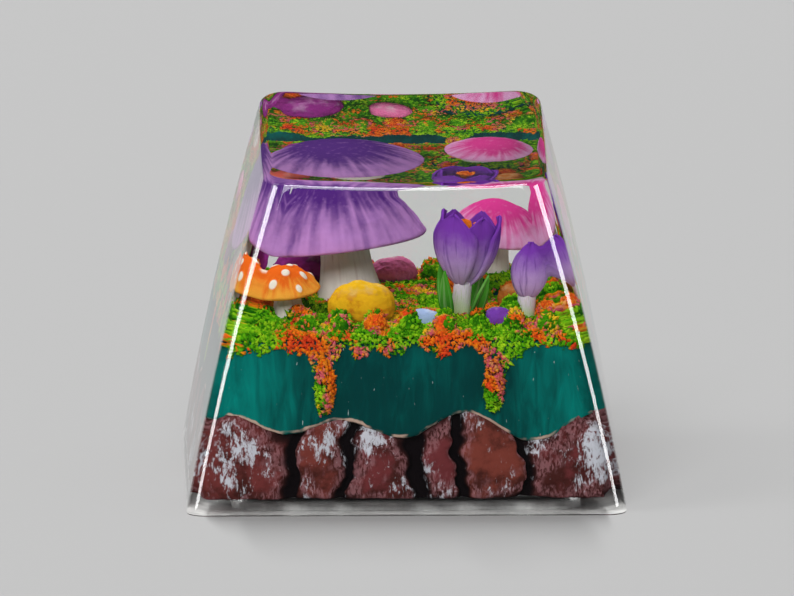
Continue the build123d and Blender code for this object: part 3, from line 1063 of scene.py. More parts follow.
@dataclass
class ResinBody:
    """The clear casting: a tapered, swelling block with a dished and tilted top, hollow underneath."""

    shape: CastingShape = CASTING
    bulge: float = 0.2
    foot_corner: float = 0.8
    top_corner: float = 1.2
    dish_radius: float = 80.0
    dish_margin: float = 0.03
    rim_round: float = 0.3
    foot_round: float = 0.12
    rock_foot: float = 0.6
    bite: float = 0.12
    bite_step: float = 0.02
    roof_shares: tuple[float, ...] = (0.15, 0.4, 0.7)
    foot_flat: float = 0.01
    crisp_angle: float = 32.0
    rim_segments: int = 6
    foot_segments: int = 4
    rim_from: float = 0.9
    rim_steps: int = 401
    ladder_steps: int = 201
    side_steps: int = 26
    corner_steps: int = 10
    levels: int = 26
    rings: int = 16

    def section(self, share: float) -> np.ndarray:
        """A cross-section of the block.

        Args:
            share: 0 at the foot and 1 at the rim.

        Returns:
            Its points in space.
        """
        shape = self.shape
        front = -shape.base_depth / 2 + share * shape.setback
        back = shape.base_depth / 2 + share * (shape.setback + shape.top_depth - shape.base_depth)
        rise = share * (shape.back_height - shape.front_height)
        swell = 8 * self.bulge * share * (1 - share)
        width = shape.base_width + share * (shape.top_width - shape.base_width) + swell
        depth = math.hypot(back - front, rise) + swell
        tilt = math.atan2(rise, back - front)
        radius = self.foot_corner + share * (self.top_corner - self.foot_corner)
        x, y = rounded_loop(width / 2, depth / 2, radius, self.corner_steps, self.side_steps).T
        middle = share * (shape.front_height + shape.back_height) / 2
        return np.column_stack([x, (front + back) / 2 + y * math.cos(tilt), middle + y * math.sin(tilt)])

    def dish(self) -> tuple[np.ndarray, np.ndarray]:
        """The sphere that dishes the top.

        Returns:
            The sphere's centre, and the middle of the top before it is dished.
        """
        shape = self.shape
        front = -shape.base_depth / 2 + shape.setback
        tilt = math.atan2(shape.back_height - shape.front_height, shape.top_depth)
        middle = np.array([0.0, front + shape.top_depth / 2, (shape.front_height + shape.back_height) / 2])
        up = np.array([0.0, -math.sin(tilt), math.cos(tilt)])
        reach = np.linalg.norm(self.section(1.0) - middle, axis=1).max()
        depth = reach**2 / (2 * self.dish_radius) + self.dish_margin
        return middle + up * (self.dish_radius - depth), middle

    def rim_share(self, centre: np.ndarray) -> np.ndarray:
        """Where each upright line of the wall meets the dish.

        Args:
            centre: The dish's centre.

        Returns:
            The share of the height for each point of the loop.
        """
        shares = np.linspace(self.rim_from, 1.0, self.rim_steps)
        ladder = np.array([self.section(s) for s in shares])
        below = (np.linalg.norm(ladder - centre, axis=2) > self.dish_radius).sum(axis=0)
        return shares[np.clip(below - 1, 0, len(shares) - 1)]

    def on_dish(self, spots: np.ndarray, centre: np.ndarray) -> np.ndarray:
        """Drops points of the top onto the dish."""
        across = ((spots[:, :2] - centre[:2]) ** 2).sum(axis=1)
        return np.column_stack([spots[:, :2], centre[2] - np.sqrt(self.dish_radius**2 - across)])

    def walls(self, shares: np.ndarray) -> list[np.ndarray]:
        """Loops of the outer walls.

        Args:
            shares: The share of the height at which each upright line ends.

        Returns:
            The loops from the foot to the rim.
        """
        ladder = np.array([self.section(s) for s in np.linspace(0.0, 1.0, self.ladder_steps)])
        column = np.arange(ladder.shape[1])
        loops = []
        for level in range(self.levels + 1):
            wanted = shares * level / self.levels * (len(ladder) - 1)
            low = np.minimum(wanted.astype(int), len(ladder) - 2)
            part = (wanted - low)[:, None]
            loops.append(ladder[low, column] * (1 - part) + ladder[low + 1, column] * part)
        return loops

    def underside(self) -> list[np.ndarray]:
        """Loops of the hollow, from its roof to its mouth, which step into the rock above the rock's foot.

        Returns:
            The loops.
        """
        rings = (
            (HOLLOW.depth + self.bite, self.bite), (self.rock_foot + self.bite_step, self.bite),
            (self.rock_foot, 0.0), (0.0, 0.0),
        )
        loops = [HOLLOW.ring(height, out, self.corner_steps, self.side_steps) for height, out in rings]
        return [loops[0] * np.array([share, share, 1.0]) for share in self.roof_shares] + loops

    def round_edges(self, piece: bpy.types.Object, rim: int, foot: int) -> None:
        """Rounds the rim and the foot, and keeps the hollow's edges crisp.

        Args:
            piece: The skin, with its vertices in the order of its loops.
            rim: The number of the rim's loop.
            foot: The number of the foot's loop.
        """
        count = 4 * (self.corner_steps + self.side_steps)
        work = bmesh.new()
        work.from_mesh(piece.data)
        bmesh.ops.recalc_face_normals(work, faces=work.faces)
        work.verts.ensure_lookup_table()
        rounds = []
        edges_wanted = ((rim, self.rim_round, self.rim_segments), (foot, self.foot_round, self.foot_segments))
        for loop, radius, segments in edges_wanted:
            ring = {work.verts[loop * count + step] for step in range(count)}
            edges = [e for e in work.edges if e.verts[0] in ring and e.verts[1] in ring]
            rounds.append((edges, radius, segments))
        for edges, radius, segments in rounds:
            bmesh.ops.bevel(
                work, geom=[e for e in edges if e.is_valid], offset=radius * MM, segments=segments, profile=0.5,
                affect="EDGES", clamp_overlap=False,
            )
        for face in work.faces:
            face.smooth = True
        for edge in work.edges:
            edge.smooth = edge.calc_face_angle(0.0) < math.radians(self.crisp_angle)
        work.to_mesh(piece.data)
        work.free()

    def build(self) -> None:
        """Makes the resin as one closed mesh."""
        centre, middle = self.dish()
        under, walls = self.underside(), self.walls(self.rim_share(centre))
        top = [self.on_dish(middle + (walls[-1] - middle) * (1 - r / self.rings), centre) for r in range(1, self.rings)]
        low = (0.0, 0.0, under[0][0][2])
        piece = skin_of_loops("resin_body", under + walls + top, low, self.on_dish(middle[None, :], centre)[0])
        self.round_edges(piece, len(under) + self.levels, len(under))
        store(piece, "foot", (positions(piece)[:, 2] < self.foot_flat).astype(float))
        piece.visible_shadow = False
        piece.visible_diffuse = False
        finish_piece(piece, "clear_resin", "clear_casting", paint=ClearResin().material())


@dataclass
class RockBase:
    """The painted rock round the foot: a cliff of boulders with cracks between them, hollow underneath."""

    foot: float = 0.6
    top: float = 5.58
    wall: float = 0.45
    core_wall: float = 1.12
    shares: tuple[float, ...] = (3.5, 2.3, 3.1, 1.9, 2.8, 3.3)
    row_height: float = 4.6
    crack_depth: float = 0.6
    crack_least: float = 0.06
    crack_most: float = 0.24
    crack_wander: float = 0.34
    foot_rise: float = 0.1
    deepest: float = 0.64
    swell: float = 0.2
    chips: int = 5
    chip_tilt: float = 0.3
    chip_least: float = 0.02
    chip_most: float = 0.16
    boulder_shift: float = 0.05
    wander_stretch: Point = (0.25, 0.25, 1.0)
    taper_stretch: Point = (0.5, 0.5, 1.0)
    taper_shift: float = 40.0
    taper_swing: float = 0.7
    taper_least: float = 0.35
    taper_most: float = 1.8
    rough: float = 0.085
    fine_share: float = 0.35
    corner: float = 0.35
    probe: float = 0.5
    tuck: float = 0.06
    seat_flat: float = 0.05
    under_crack: float = 0.4
    plain_tone: float = 0.5
    seat_radius: float = 3.72
    seat_depth: float = 0.5
    levels: int = 48
    corner_steps: int = 12
    side_steps: int = 190
    seed: int = 11

    def row(self) -> tuple[dict[Side, float], np.ndarray, float]:
        """Where the cracks lie along the walk round the foot.

        Returns:
            How far round each side's middle lies, the place of each crack and the whole way round.
        """
        level = self.foot + self.row_height / 2
        middles: dict[Side, float] = {}
        cracks: list[float] = []
        walked = 0.0
        for side in Side:
            span = CASTING.span(side, level) - 2 * self.wall
            shares = self.shares[side.value:] + self.shares[:side.value]
            middles[side] = walked + span / 2
            cracks += [walked + span * sum(shares[:number]) / sum(shares) for number in range(1, len(shares))]
            walked += span
        return middles, np.array(cracks), walked

    def relief(self, walk: np.ndarray, rise: np.ndarray, spots: np.ndarray) -> tuple[np.ndarray, np.ndarray]:
        """How deep the rock lies behind its front, and a tone for each boulder.

        Args:
            walk: How far round the foot each point lies.
            rise: Its share of the cliff's height.
            spots: Its place before it is carved.

        Returns:
            The depth and the tone of each point.
        """
        chance = random.Random(self.seed)
        _, cracks, around = self.row()
        wander = fractal(spots * np.array(self.wander_stretch), 0.9, 3) * self.crack_wander
        place = (walk + wander - cracks[0]) % around
        bounds = np.append(cracks - cracks[0], around)
        number = np.clip(np.searchsorted(bounds, place, side="right") - 1, 0, len(cracks) - 1)
        before, after = place - bounds[number], bounds[number + 1] - place
        widths = np.array([chance.uniform(self.crack_least, self.crack_most) for _ in range(len(cracks) + 1)])
        widths[-1] = widths[0]
        taper = fractal(spots * np.array(self.taper_stretch) + self.taper_shift, 0.55, 2)
        taper = np.clip(1.0 + self.taper_swing * taper, self.taper_least, self.taper_most)
        cut = np.exp(-((before / widths[number] / taper) ** 2)) + np.exp(-((after / widths[number + 1] / taper) ** 2))
        across = 2 * before / (before + after) - 1
        depth = self.crack_depth * cut + self.swell * (np.abs(across) ** 4 + 0.5 * np.abs(2 * rise - 1) ** 6)
        for boulder in range(len(cracks)):
            here = number == boulder
            tilt = self.chip_tilt
            chips = [(chance.uniform(-tilt, tilt), chance.uniform(-tilt, tilt)) for _ in range(self.chips)]
            planes = [
                a * across[here] + b * (2 * rise[here] - 1) - chance.uniform(self.chip_least, self.chip_most)
                for a, b in chips
            ]
            depth[here] += np.maximum(np.max(planes, axis=0), 0.0) + chance.uniform(0.0, self.boulder_shift)
        depth += self.rough * fractal(spots, 1.3, 4) + self.fine_share * self.rough * fractal(spots, 5.0, 4)
        tones = np.array([chance.random() for _ in cracks])
        return np.clip(depth, 0.0, self.deepest), tones[number]

    def cliff(self) -> tuple[list[np.ndarray], list[np.ndarray], list[np.ndarray]]:
        """Loops of the carved face, from the foot up to the terrain's edge.

        Returns:
            The loops, with the depth and the tone of their points.
        """
        steps = (self.corner_steps, self.side_steps)
        middles, _, _ = self.row()
        plan = CASTING.outline(self.wall, DRAPE.level, self.corner, *steps)
        sides = [CASTING.side_of(x, y, DRAPE.level) for x, y in plan]
        walk = np.array([middles[side] + along for side, along in sides])
        edge = DRAPE.heights(plan) + self.tuck
        foot = self.foot + self.foot_rise * np.clip(fractal(at_height(plan, 0.0), 0.5, 3) + 0.25, 0, 1)
        loops, depths, tones = [], [], []
        outer, inner = (CASTING.outline(self.wall + inset, 0.0, self.corner, *steps) for inset in (0.0, self.probe))
        inward = (inner - outer) / self.probe
        for level in range(self.levels + 1):
            heights = foot + (edge - foot) * level / self.levels
            loop = CASTING.wall_loop(self.wall, heights, self.corner, *steps)
            depth, tone = self.relief(walk, np.full(len(walk), level / self.levels), loop)
            loop[:, :2] += inward * depth[:, None]
            loops.append(loop)
            depths.append(depth)
            tones.append(tone)
        return loops, depths, tones

    def build(self) -> None:
        """Makes the rock as one closed mesh, marked with the depth of its cracks, which its paint turns into painted
        shade, and the tones of its boulders.
        """
        steps = (self.corner_steps, self.side_steps)
        roof = HOLLOW.depth
        seat = rounded_loop(self.seat_radius, self.seat_radius, self.seat_radius - self.seat_flat, *steps)
        under = [at_height(seat, roof + self.seat_depth), at_height(seat, roof)]
        mouths = [self.foot + share * (roof - self.foot) for share in (1.0, 0.66, 0.33, 0.0)]
        under += [HOLLOW.ring(height, 0.0, *steps) for height in mouths]
        face, depths, tones = self.cliff()
        crown = []
        for share in (0.0, 0.5, 1.0):
            heights = face[-1][:, 2] + share * (self.top - face[-1][:, 2])
            crown.append(CASTING.wall_loop(self.core_wall, heights, self.corner, *steps))
        crown += [crown[-1] * np.array([share, share, 1.0]) for share in (0.6, 0.2)]
        piece = skin_of_loops("rock_boulders", under + face + crown, (0, 0, roof + self.seat_depth), (0, 0, self.top))
        count = len(seat)
        # The crack mark sets the painted shade: the hollow's faces take a middling value and the crown under the
        # terrain the darkest.
        marks = np.concatenate([np.full(len(under) * count, self.under_crack), *(d / self.deepest for d in depths)])
        store(piece, "crack", np.append(marks, np.full(len(crown) * count + 2, 1.0)))
        shades = np.concatenate([np.full(len(under) * count, self.plain_tone), *tones])
        store(piece, "tone", np.append(shades, np.full(len(crown) * count + 2, self.plain_tone)))
        tidy_mesh(piece, 1e-6)
        finish_piece(piece, "rock_paint", "rock_base", paint=RockPaint().material())


@dataclass
class TerrainLayer:
    """The teal terrain that drapes over the rock, with its wavy edge and its mound."""

    wall: float = 0.7
    core_wall: float = 1.05
    edge_round: float = 0.35
    underside: float = 5.6
    mound_place: Spot = (0.475, 0.43)
    mound_foot: float = 2.3
    mound_top: float = 1.4
    mound_height: float = 0.9
    corner: float = 0.45
    corner_light_reach: float = 7.5
    fold: float = 0.085
    fold_stretch: Point = (1.0, 1.0, 0.2)
    fold_bounds: Spot = (-1.4, 0.9)
    fold_probe: float = 0.5
    shoulder_steps: int = 5
    lip_inner: Spot = (0.08, 0.02)
    lip_outer: Spot = (0.1, 0.03)
    lip_rise: float = 0.04
    ragged: float = 0.05
    rim_band: float = 0.32
    levels: int = 22
    rings: int = 34
    corner_steps: int = 8
    side_steps: int = 84

    def ring(self, inset: float, heights: np.ndarray) -> np.ndarray:
        """A loop of the terrain whose points each have their own height."""
        return CASTING.wall_loop(inset, heights, self.corner, self.corner_steps, self.side_steps)

    def outer(self, edge: np.ndarray) -> list[np.ndarray]:
        """Loops from the lower edge up the folded face and over the rounded shoulder.

        Args:
            edge: Height of the lower edge at each point.

        Returns:
            The loops.
        """
        shoulder = CASTING.plateau - self.edge_round
        loops = []
        for level in range(self.levels + 1):
            share = level / self.levels
            loop = self.ring(self.wall, edge + share * (shoulder - edge))
            out = self.ring(self.wall - self.fold_probe, loop[:, 2])[:, :2] - loop[:, :2]
            out /= np.linalg.norm(out, axis=1)[:, None]
            folds = np.clip(fractal(loop * np.array(self.fold_stretch), 0.75, 4), *self.fold_bounds)
            loop[:, :2] += out * (folds * self.fold * min(1.0, 4 * (1 - share)))[:, None]
            loops.append(loop)
        for step in range(1, self.shoulder_steps + 1):
            turn = math.pi / 2 * step / self.shoulder_steps
            height = shoulder + self.edge_round * math.sin(turn)
            loops.append(self.ring(self.wall + self.edge_round * (1 - math.cos(turn)), np.full(len(edge), height)))
        return loops

    def mound(self, spots: np.ndarray) -> np.ndarray:
        """Height of the mound above the plateau at places in X and Y."""
        reach = np.linalg.norm(spots[:, :2] - np.array(CASTING.spot(self.mound_place)), axis=1)
        return self.mound_height * np.clip((self.mound_foot - reach) / (self.mound_foot - self.mound_top), 0, 1)

    def build(self) -> None:
        """Makes the terrain as one closed mesh, marked with its lower edge and with its corners, towards which the
        paint adds painted light.
        """
        plan = CASTING.outline(self.wall, DRAPE.level, self.corner, self.corner_steps, self.side_steps)
        rough = fractal(at_height(plan, 0.0), 1.4, 4)
        edge = DRAPE.heights(plan) + self.ragged * np.clip(rough, -1.2, 1.2)
        roof = np.full(len(plan), self.underside)
        inner = [self.ring(self.core_wall, roof)]
        inside = [inner[0] * np.array([share, share, 1.0]) for share in (0.2, 0.6)] + inner
        inside += [self.ring(self.core_wall, edge + share * (roof - edge)) for share in (0.5, 0.08)]
        lip = [
            self.ring(self.core_wall - self.lip_inner[0], edge + self.lip_inner[1]),
            self.ring(self.wall + self.lip_outer[0], edge - self.lip_outer[1]),
        ]
        outer = self.outer(edge + self.lip_rise)
        rim = outer[-1]
        middle = rim.mean(axis=0)
        top = []
        for number in range(1, self.rings):
            loop = middle + (rim - middle) * (1 - number / self.rings)
            loop[:, 2] = CASTING.plateau + self.mound(loop)
            top.append(loop)
        piece = skin_of_loops("terrain_drape", inside + lip + outer + top, (0, 0, self.underside), middle)
        points = positions(piece)
        under = np.tile(edge, len(points) // len(edge) + 1)[:len(points)]
        face = np.zeros(len(points))
        face[len(inside) * len(edge):(len(inside) + len(lip) + len(outer)) * len(edge)] = 1.0
        store(piece, "rim", face * np.clip(1 - (points[:, 2] - under) / self.rim_band, 0, 1))
        # The corner mark rises from the middle of each side towards its corners, where the paint lightens the teal as
        # painted light.
        store(piece, "corner", np.abs(points[:, :2]).min(axis=1) / self.corner_light_reach)
        tidy_mesh(piece, 1e-6)
        finish_piece(piece, "teal_paint", "terrain_layer", paint=TealPaint().material())


@dataclass
class Toadstool:
    """One toadstool: a turned cap, gills underneath and a fibrous stalk."""

    name: str
    place: Spot
    lean: Spot
    rise: float
    stalk: float
    foot: float
    neck: float
    cap: float
    crown: float
    cap_paint: CapPaint
    stalk_paint: StreakPaint
    gill_paint: StreakPaint
    cap_slot: str
    warts: int = 0
    wart_size: float = 0.16
    gills: int = 48
    lip: float = 0.14
    gill_rise: float = 0.3
    peg: float = 0.35
    waist: float = 0.82
    crown_round: float = 0.92
    sink: float = 0.3
    wart_height: float = 0.09
    wart_spread: float = 0.93
    wart_vary: Spot = (0.7, 1.3)
    streak_height: float = 0.018
    streak_turns: float = 5.0
    uneven: float = 0.06
    ridge: float = 0.06
    gill_columns: int = 6
    steps: int = 72

    def frame(self) -> Matrix:
        """The toadstool's place and lean."""
        return CASTING.standing(self.place, self.lean, self.rise)

    def rim_frame(self) -> Matrix:
        """The middle of the cap's rim."""
        return self.frame() @ Matrix.Translation((0, 0, self.stalk - self.peg - self.gill_rise))

    def dome(self) -> list[Spot]:
        """The cap's outline from its apex to its lip."""
        radius = self.crown_round * self.cap
        top = arc((0, self.crown - radius), (POLE, self.crown), -math.radians(45), 14)
        start, chord = top[-1], (self.cap - top[-1][0], -top[-1][1])
        inward = (-math.sqrt(0.5), -math.sqrt(0.5))
        bend = (chord[0] ** 2 + chord[1] ** 2) / (2 * (inward[0] * chord[0] + inward[1] * chord[1]))
        centre = (start[0] + inward[0] * bend, start[1] + inward[1] * bend)
        turn = 2 * math.asin(min(1.0, math.hypot(*chord) / (2 * bend)))
        return top + arc(centre, start, -turn, 14)[1:]

    def build_cap(self) -> None:
        """Makes the cap."""
        dome = self.dome()
        lip = arc((self.cap - self.lip, 0), dome[-1], -math.pi, 6)[1:]
        inner = self.cap - 2 * self.lip
        under = [(inner + share * (self.neck - inner), share * self.gill_rise) for share in (0.1, 0.5, 1.0)]
        socket = [(radius, self.gill_rise + self.peg) for radius in (self.neck, POLE)]
        piece = turned(f"{self.name}_toadstool_cap_painted", dome + lip + under + socket, self.steps)
        split = piece.modifiers.new("fine", "SUBSURF")
        split.levels = split.render_levels = 1
        applied(piece)
        self.shape_cap(piece)
        node, paint = f"{self.name}_toadstool_cap", self.cap_paint.material()
        finish_piece(piece, self.cap_slot, node, paint=paint, where=self.rim_frame())

    def shape_cap(self, piece: bpy.types.Object) -> None:
        """Makes the cap uneven, raises its warts and stores its rings, streaks and warts as attributes.

        Args:
            piece: The cap, at the origin.
        """
        points, out = positions(piece), normals(piece)
        reach = np.hypot(points[:, 0], points[:, 1])
        ring = reach / self.cap
        wart = np.zeros(len(points))
        chance = random.Random(self.name)
        for number in range(self.warts):
            far = self.cap * math.sqrt((number + 0.4) / self.warts) * self.wart_spread
            turn = number * math.pi * (3 - math.sqrt(5))
            size = self.wart_size * chance.uniform(*self.wart_vary)
            near = np.hypot(points[:, 0] - far * math.cos(turn), points[:, 1] - far * math.sin(turn)) / size
            wart = np.maximum(wart, np.clip(1.3 - near, 0, 1) * (out[:, 2] > 0.05))
        around = np.column_stack([points[:, :2] / np.maximum(reach, POLE)[:, None] * self.streak_turns, ring])
        streak = fractal(around, 1.5, 4)
        upper = out[:, 2] > -0.2
        uneven = fractal(points, 0.9, 4) * self.uneven * np.clip(ring * 1.4, 0.3, 1)
        uneven += streak * self.streak_height * np.clip(ring, 0, 1)
        move_points(piece, points + out * (wart**0.5 * self.wart_height + uneven * upper)[:, None])
        store(piece, "ring", ring)
        store(piece, "streak", streak * np.clip(ring * 1.5, 0, 1))
        store(piece, "wart", wart)

    def build_gills(self, tree: Tree) -> None:
        """Makes the gills as a ring of thin blades under the cap.

        Args:
            tree: The tree that copies a blade round the stalk.
        """
        inner, outer, rise = self.neck * 1.02, self.cap - 2 * self.lip, self.gill_rise
        thick = 0.35 * outer * math.pi / self.gills * 0.5
        points: list[Point] = []
        columns = self.gill_columns
        for step in range(columns + 1):
            share = step / columns
            radius = inner + share * (outer - inner)
            top = rise * (1 - share)
            drop = 0.16 * self.cap * 0.35 * math.sin(math.pi * min(1.0, 0.15 + 0.85 * share)) + 0.02
            for way in (-1, 1):
                points.append((radius, way * thick * (0.5 + share), top + 0.02))
            points.append((radius, 0.0, top - drop))
        faces: list[tuple[int, ...]] = []
        for step in range(columns):
            a, b = 3 * step, 3 * (step + 1)
            faces += [(a, b, b + 2, a + 2), (a + 2, b + 2, b + 1, a + 1), (a + 1, b + 1, b, a)]
        faces += [(0, 2, 1), (3 * columns, 3 * columns + 1, 3 * columns + 2)]
        piece = new_piece(f"{self.name}_toadstool_gills", points, faces)
        tidy_mesh(piece)
        tree.run(piece, Count=self.gills, Lean=0.0, Shrink=0.0, Seed=3, Material=self.gill_paint.material())
        spots = positions(piece)
        store(piece, "along", (np.hypot(spots[:, 0], spots[:, 1]) - inner) / (outer - inner))
        store(piece, "side", np.arctan2(spots[:, 1], spots[:, 0]))
        finish_piece(piece, "cream_paint", where=self.rim_frame())

    def build_stalk(self) -> None:
        """Makes the stalk with fine ridges along it."""
        shoulder = self.stalk - self.peg
        waist = self.waist * (self.foot + self.neck) / 2
        side = arc_through((self.foot, 0.0), (waist, 0.6 * self.stalk), (self.neck, shoulder), 28)
        end = self.stalk - 0.02
        profile = [(POLE, -self.sink), (self.foot, -self.sink), *side, (self.neck, end), (POLE, end)]
        piece = turned(f"{self.name}_toadstool_stalk_painted", profile, self.steps)
        spots = positions(piece)
        turn = np.arctan2(spots[:, 1], spots[:, 0])
        around = np.column_stack([np.cos(turn) * 3, np.sin(turn) * 3, spots[:, 2] * 0.25])
        flat = np.column_stack([np.cos(turn), np.sin(turn), np.zeros_like(turn)])
        body = (spots[:, 2] > -0.2) & (spots[:, 2] < shoulder - 0.1)
        move_points(piece, spots + flat * (np.clip(fractal(around, 1.6, 4), -1, 0.2) * self.ridge * body)[:, None])
        store(piece, "along", np.clip(spots[:, 2] / self.stalk, 0, 1))
        store(piece, "side", turn)
        node, paint = f"{self.name}_toadstool_stalk", self.stalk_paint.material()
        finish_piece(piece, "cream_paint", node, paint=paint, where=self.frame())

    def build(self, tree: Tree) -> None:
        """Builds the stalk, the cap and the gills."""
        self.build_stalk()
        self.build_cap()
        self.build_gills(tree)


@dataclass
class Crocus:
    """The open crocus, its bud, their stalks and leaves."""

    place: Spot = (0.3, -0.34)
    lean: Spot = (-3, 6)
    stalk: float = 1.5
    stalk_radius: float = 0.38
    height: float = 3.0
    belly: float = 1.4
    mouth: float = 1.3
    wall: float = 0.12
    bud_place: Spot = (0.66, -0.42)
    bud_lean: Spot = (-2, 5)
    bud_stalk: float = 1.1
    bud_height: float = 2.3
    bud_radius: float = 0.8
    leaf_length: float = 3.0
    leaf_width: float = 0.6
    leaf_lean: float = 24.0
    leaf_turns: tuple[float, ...] = (35, 155, 215, 330)
    leaf_offset: float = 0.75
    leaf_sink: float = 0.6
    leaf_wall: float = 0.1
    leaf_rows: int = 26
    leaf_across: int = 6
    leaf_fold: float = 0.16
    petal_across: int = 10
    petal_breadth: float = 0.82
    whorl_spreads: Spot = (-0.02, -0.17)
    crease: float = 0.06
    curl: float = 0.07
    bud_breadth: float = 1.25
    bud_spread: float = -0.03
    bud_turn: float = 0.6
    lobe_breadth: float = 0.95
    frill: float = 0.06
    frill_foot: float = 1.8
    stalk_steps: int = 32
    stalk_overlap: float = 0.15
    lobe_side: tuple[Spot, ...] = (
        (0.10, 0.4), (0.11, 1.1), (0.12, 1.8), (0.22, 2.2), (0.36, 2.5), (0.42, 2.72), (0.30, 2.85),
    )

    petal_paint: StreakPaint = StreakPaint(
        "petal_paint", (0.60, 0.40, 0.74), (0.20, 0.045, 0.42), (0.085, 0.018, 0.22), 5.0
    )
    stalk_paint: StreakPaint = StreakPaint(
        "flower_stalk_paint", (0.50, 0.66, 0.28), (0.80, 0.72, 0.84), (0.42, 0.54, 0.20)
    )
    leaf_paint: StreakPaint = StreakPaint("leaf_paint", (0.02, 0.14, 0.01), (0.08, 0.38, 0.03), (0.45, 0.62, 0.28), 2.0)
    stigma_paint: StreakPaint = StreakPaint("stigma_paint", (0.90, 0.42, 0.03), (0.95, 0.20, 0.015), (0.95, 0.58, 0.08))

    def petal(self, side: Sequence[Spot], breadth: float, spread: float, name: str) -> bpy.types.Object:
        """One petal that follows a turned outline.

        Args:
            side: Radius and height from its foot to its tip.
            breadth: Half its angle at its widest, in radians.
            spread: How far it stands out from the outline.
            name: The object's name.

        Returns:
            The petal as a thin solid at the origin.
        """
        across = self.petal_across
        points: list[Point] = []
        marks: list[Spot] = []
        for row, (radius, height) in enumerate(side):
            along = row / (len(side) - 1)
            half = breadth * (0.75 + 0.25 * math.sin(math.pi * along)) * min(1.0, 2.3 * (1 - along) ** 0.62 + 0.015)
            for column in range(across + 1):
                share = 2 * column / across - 1
                crease = -self.crease * math.exp(-(share * 4) ** 2) + self.curl * share**2 * along
                reach = radius + spread + crease
                points.append((reach * math.cos(half * share), reach * math.sin(half * share), height))
                marks.append((along, share))
        return self.thin_solid(name, points, grid_faces(len(side) - 1, across), marks, self.wall, -1.0)

    @staticmethod
    def thin_solid(
        name: str, points: list[Point], faces: list[tuple[int, ...]], marks: list[Spot], wall: float, offset: float
    ) -> bpy.types.Object:
        """Gives a sheet of points its thickness, and marks how far along and across each point lies.

        Args:
            name: The object's name.
            points: The sheet's vertices.
            faces: Its faces.
            marks: The share along and across for each vertex.
            wall: Its thickness.
            offset: Side on which the thickness lies, from -1 to 1.

        Returns:
            The thin solid.
        """
        piece = new_piece(name, points, faces)
        store(piece, "along", [m[0] for m in marks])
        store(piece, "side", [m[1] for m in marks])
        shell = piece.modifiers.new("wall", "SOLIDIFY")
        shell.thickness = wall * MM
        shell.offset = offset
        return applied(piece)

    def build_flower(self, tree: Tree) -> None:
        """Builds the petals, the stigma and the stalk of the open flower."""
        foot = CASTING.standing(self.place, self.lean)
        cup = foot @ Matrix.Translation((0, 0, self.stalk))
        outer = arc_through((self.stalk_radius, 0), (self.belly, 0.55 * self.height), (self.mouth, self.height), 22)
        petal_paint = self.petal_paint.material()
        whorls = []
        for number, spread in enumerate(self.whorl_spreads):
            piece = self.petal(outer, math.pi / 3 * self.petal_breadth, spread, f"crocus_whorl_{number}")
            tree.run(piece, Count=3, Lean=0.03, Shrink=0.04, Seed=4 + number, Material=petal_paint)
            piece.data.transform(Matrix.Rotation(math.pi / 3 * number, 4, "Z"))
            whorls.append(piece)
        flower = joined("crocus_flower", whorls)
        finish_piece(flower, "purple_paint", "crocus_petals", where=cup)
        lobe = self.lobe()
        tree.run(lobe, Count=3, Lean=0.05, Shrink=0.1, Seed=2, Material=self.stigma_paint.material())
        finish_piece(lobe, "orange_paint", "crocus_stigma", where=cup)
        self.tube("crocus_stalk_painted", "crocus_stalk", foot, self.stalk + self.stalk_overlap)

    def lobe(self) -> bpy.types.Object:
        """One of the stigma's three frilled lobes, with its share of the style."""
        piece = self.petal(self.lobe_side, self.lobe_breadth, 0.0, "crocus_stigma_lobes")
        spots = positions(piece)
        frill = fractal(spots, 5.0, 2) * self.frill * np.clip(spots[:, 2] - self.frill_foot, 0, 1)
        move_points(piece, spots + normals(piece) * frill[:, None])
        return piece

    def tube(self, name: str, node: str, where: Matrix, height: float) -> None:
        """Builds a flower's stalk.

        Args:
            name: The piece's name.
            node: The CAD node it replaces.
            where: Its foot.
            height: Its height.
        """
        flare = [(self.stalk_radius * (1 + 0.25 * (1 - s) ** 3), height * s) for s in np.linspace(0, 1, 12)]
        piece = turned(name, [(POLE, -0.1)] + flare + [(POLE, height)], self.stalk_steps)
        spots = positions(piece)
        store(piece, "along", np.clip(spots[:, 2] / height, 0, 1))
        store(piece, "side", np.arctan2(spots[:, 1], spots[:, 0]))
        finish_piece(piece, "cream_paint", node, paint=self.stalk_paint.material(), where=where)

    def build_bud(self, tree: Tree) -> None:
        """Builds the closed bud and its stalk."""
        where = CASTING.standing(self.bud_place, self.bud_lean)
        belly, tip = (self.bud_radius, 0.42 * self.bud_height), (0.06, self.bud_height)
        side = arc_through((self.stalk_radius, 0), belly, tip, 18)
        piece = self.petal(side, math.pi / 3 * self.bud_breadth, self.bud_spread, "crocus_bud")
        tree.run(piece, Count=3, Lean=0.02, Shrink=0.03, Seed=8, Material=self.petal_paint.material())
        piece.data.transform(Matrix.Rotation(self.bud_turn, 4, "Z"))
        finish_piece(piece, "purple_paint", "bud_petals", where=where @ Matrix.Translation((0, 0, self.bud_stalk)))
        self.tube("bud_stalk_painted", "bud_stalk", where, self.bud_stalk + self.stalk_overlap)

    def build_leaves(self) -> None:
        """Builds the leaves, each a folded blade."""
        paint = self.leaf_paint.material()
        base = CASTING.standing(self.place, self.lean)
        for number, turn in enumerate(self.leaf_turns, start=1):
            piece = self.leaf(f"crocus_leaf_{number}_painted")
            lean = Matrix.Rotation(math.radians(turn), 4, "Z") @ Matrix.Translation((0, -self.leaf_offset, 0))
            lean = lean @ Matrix.Rotation(math.radians(self.leaf_lean), 4, "X")
            stand = base @ lean @ Matrix.Translation((0, 0, -self.leaf_sink))
            finish_piece(piece, "leaf_paint", f"crocus_leaf_{number}", paint=paint, where=stand)

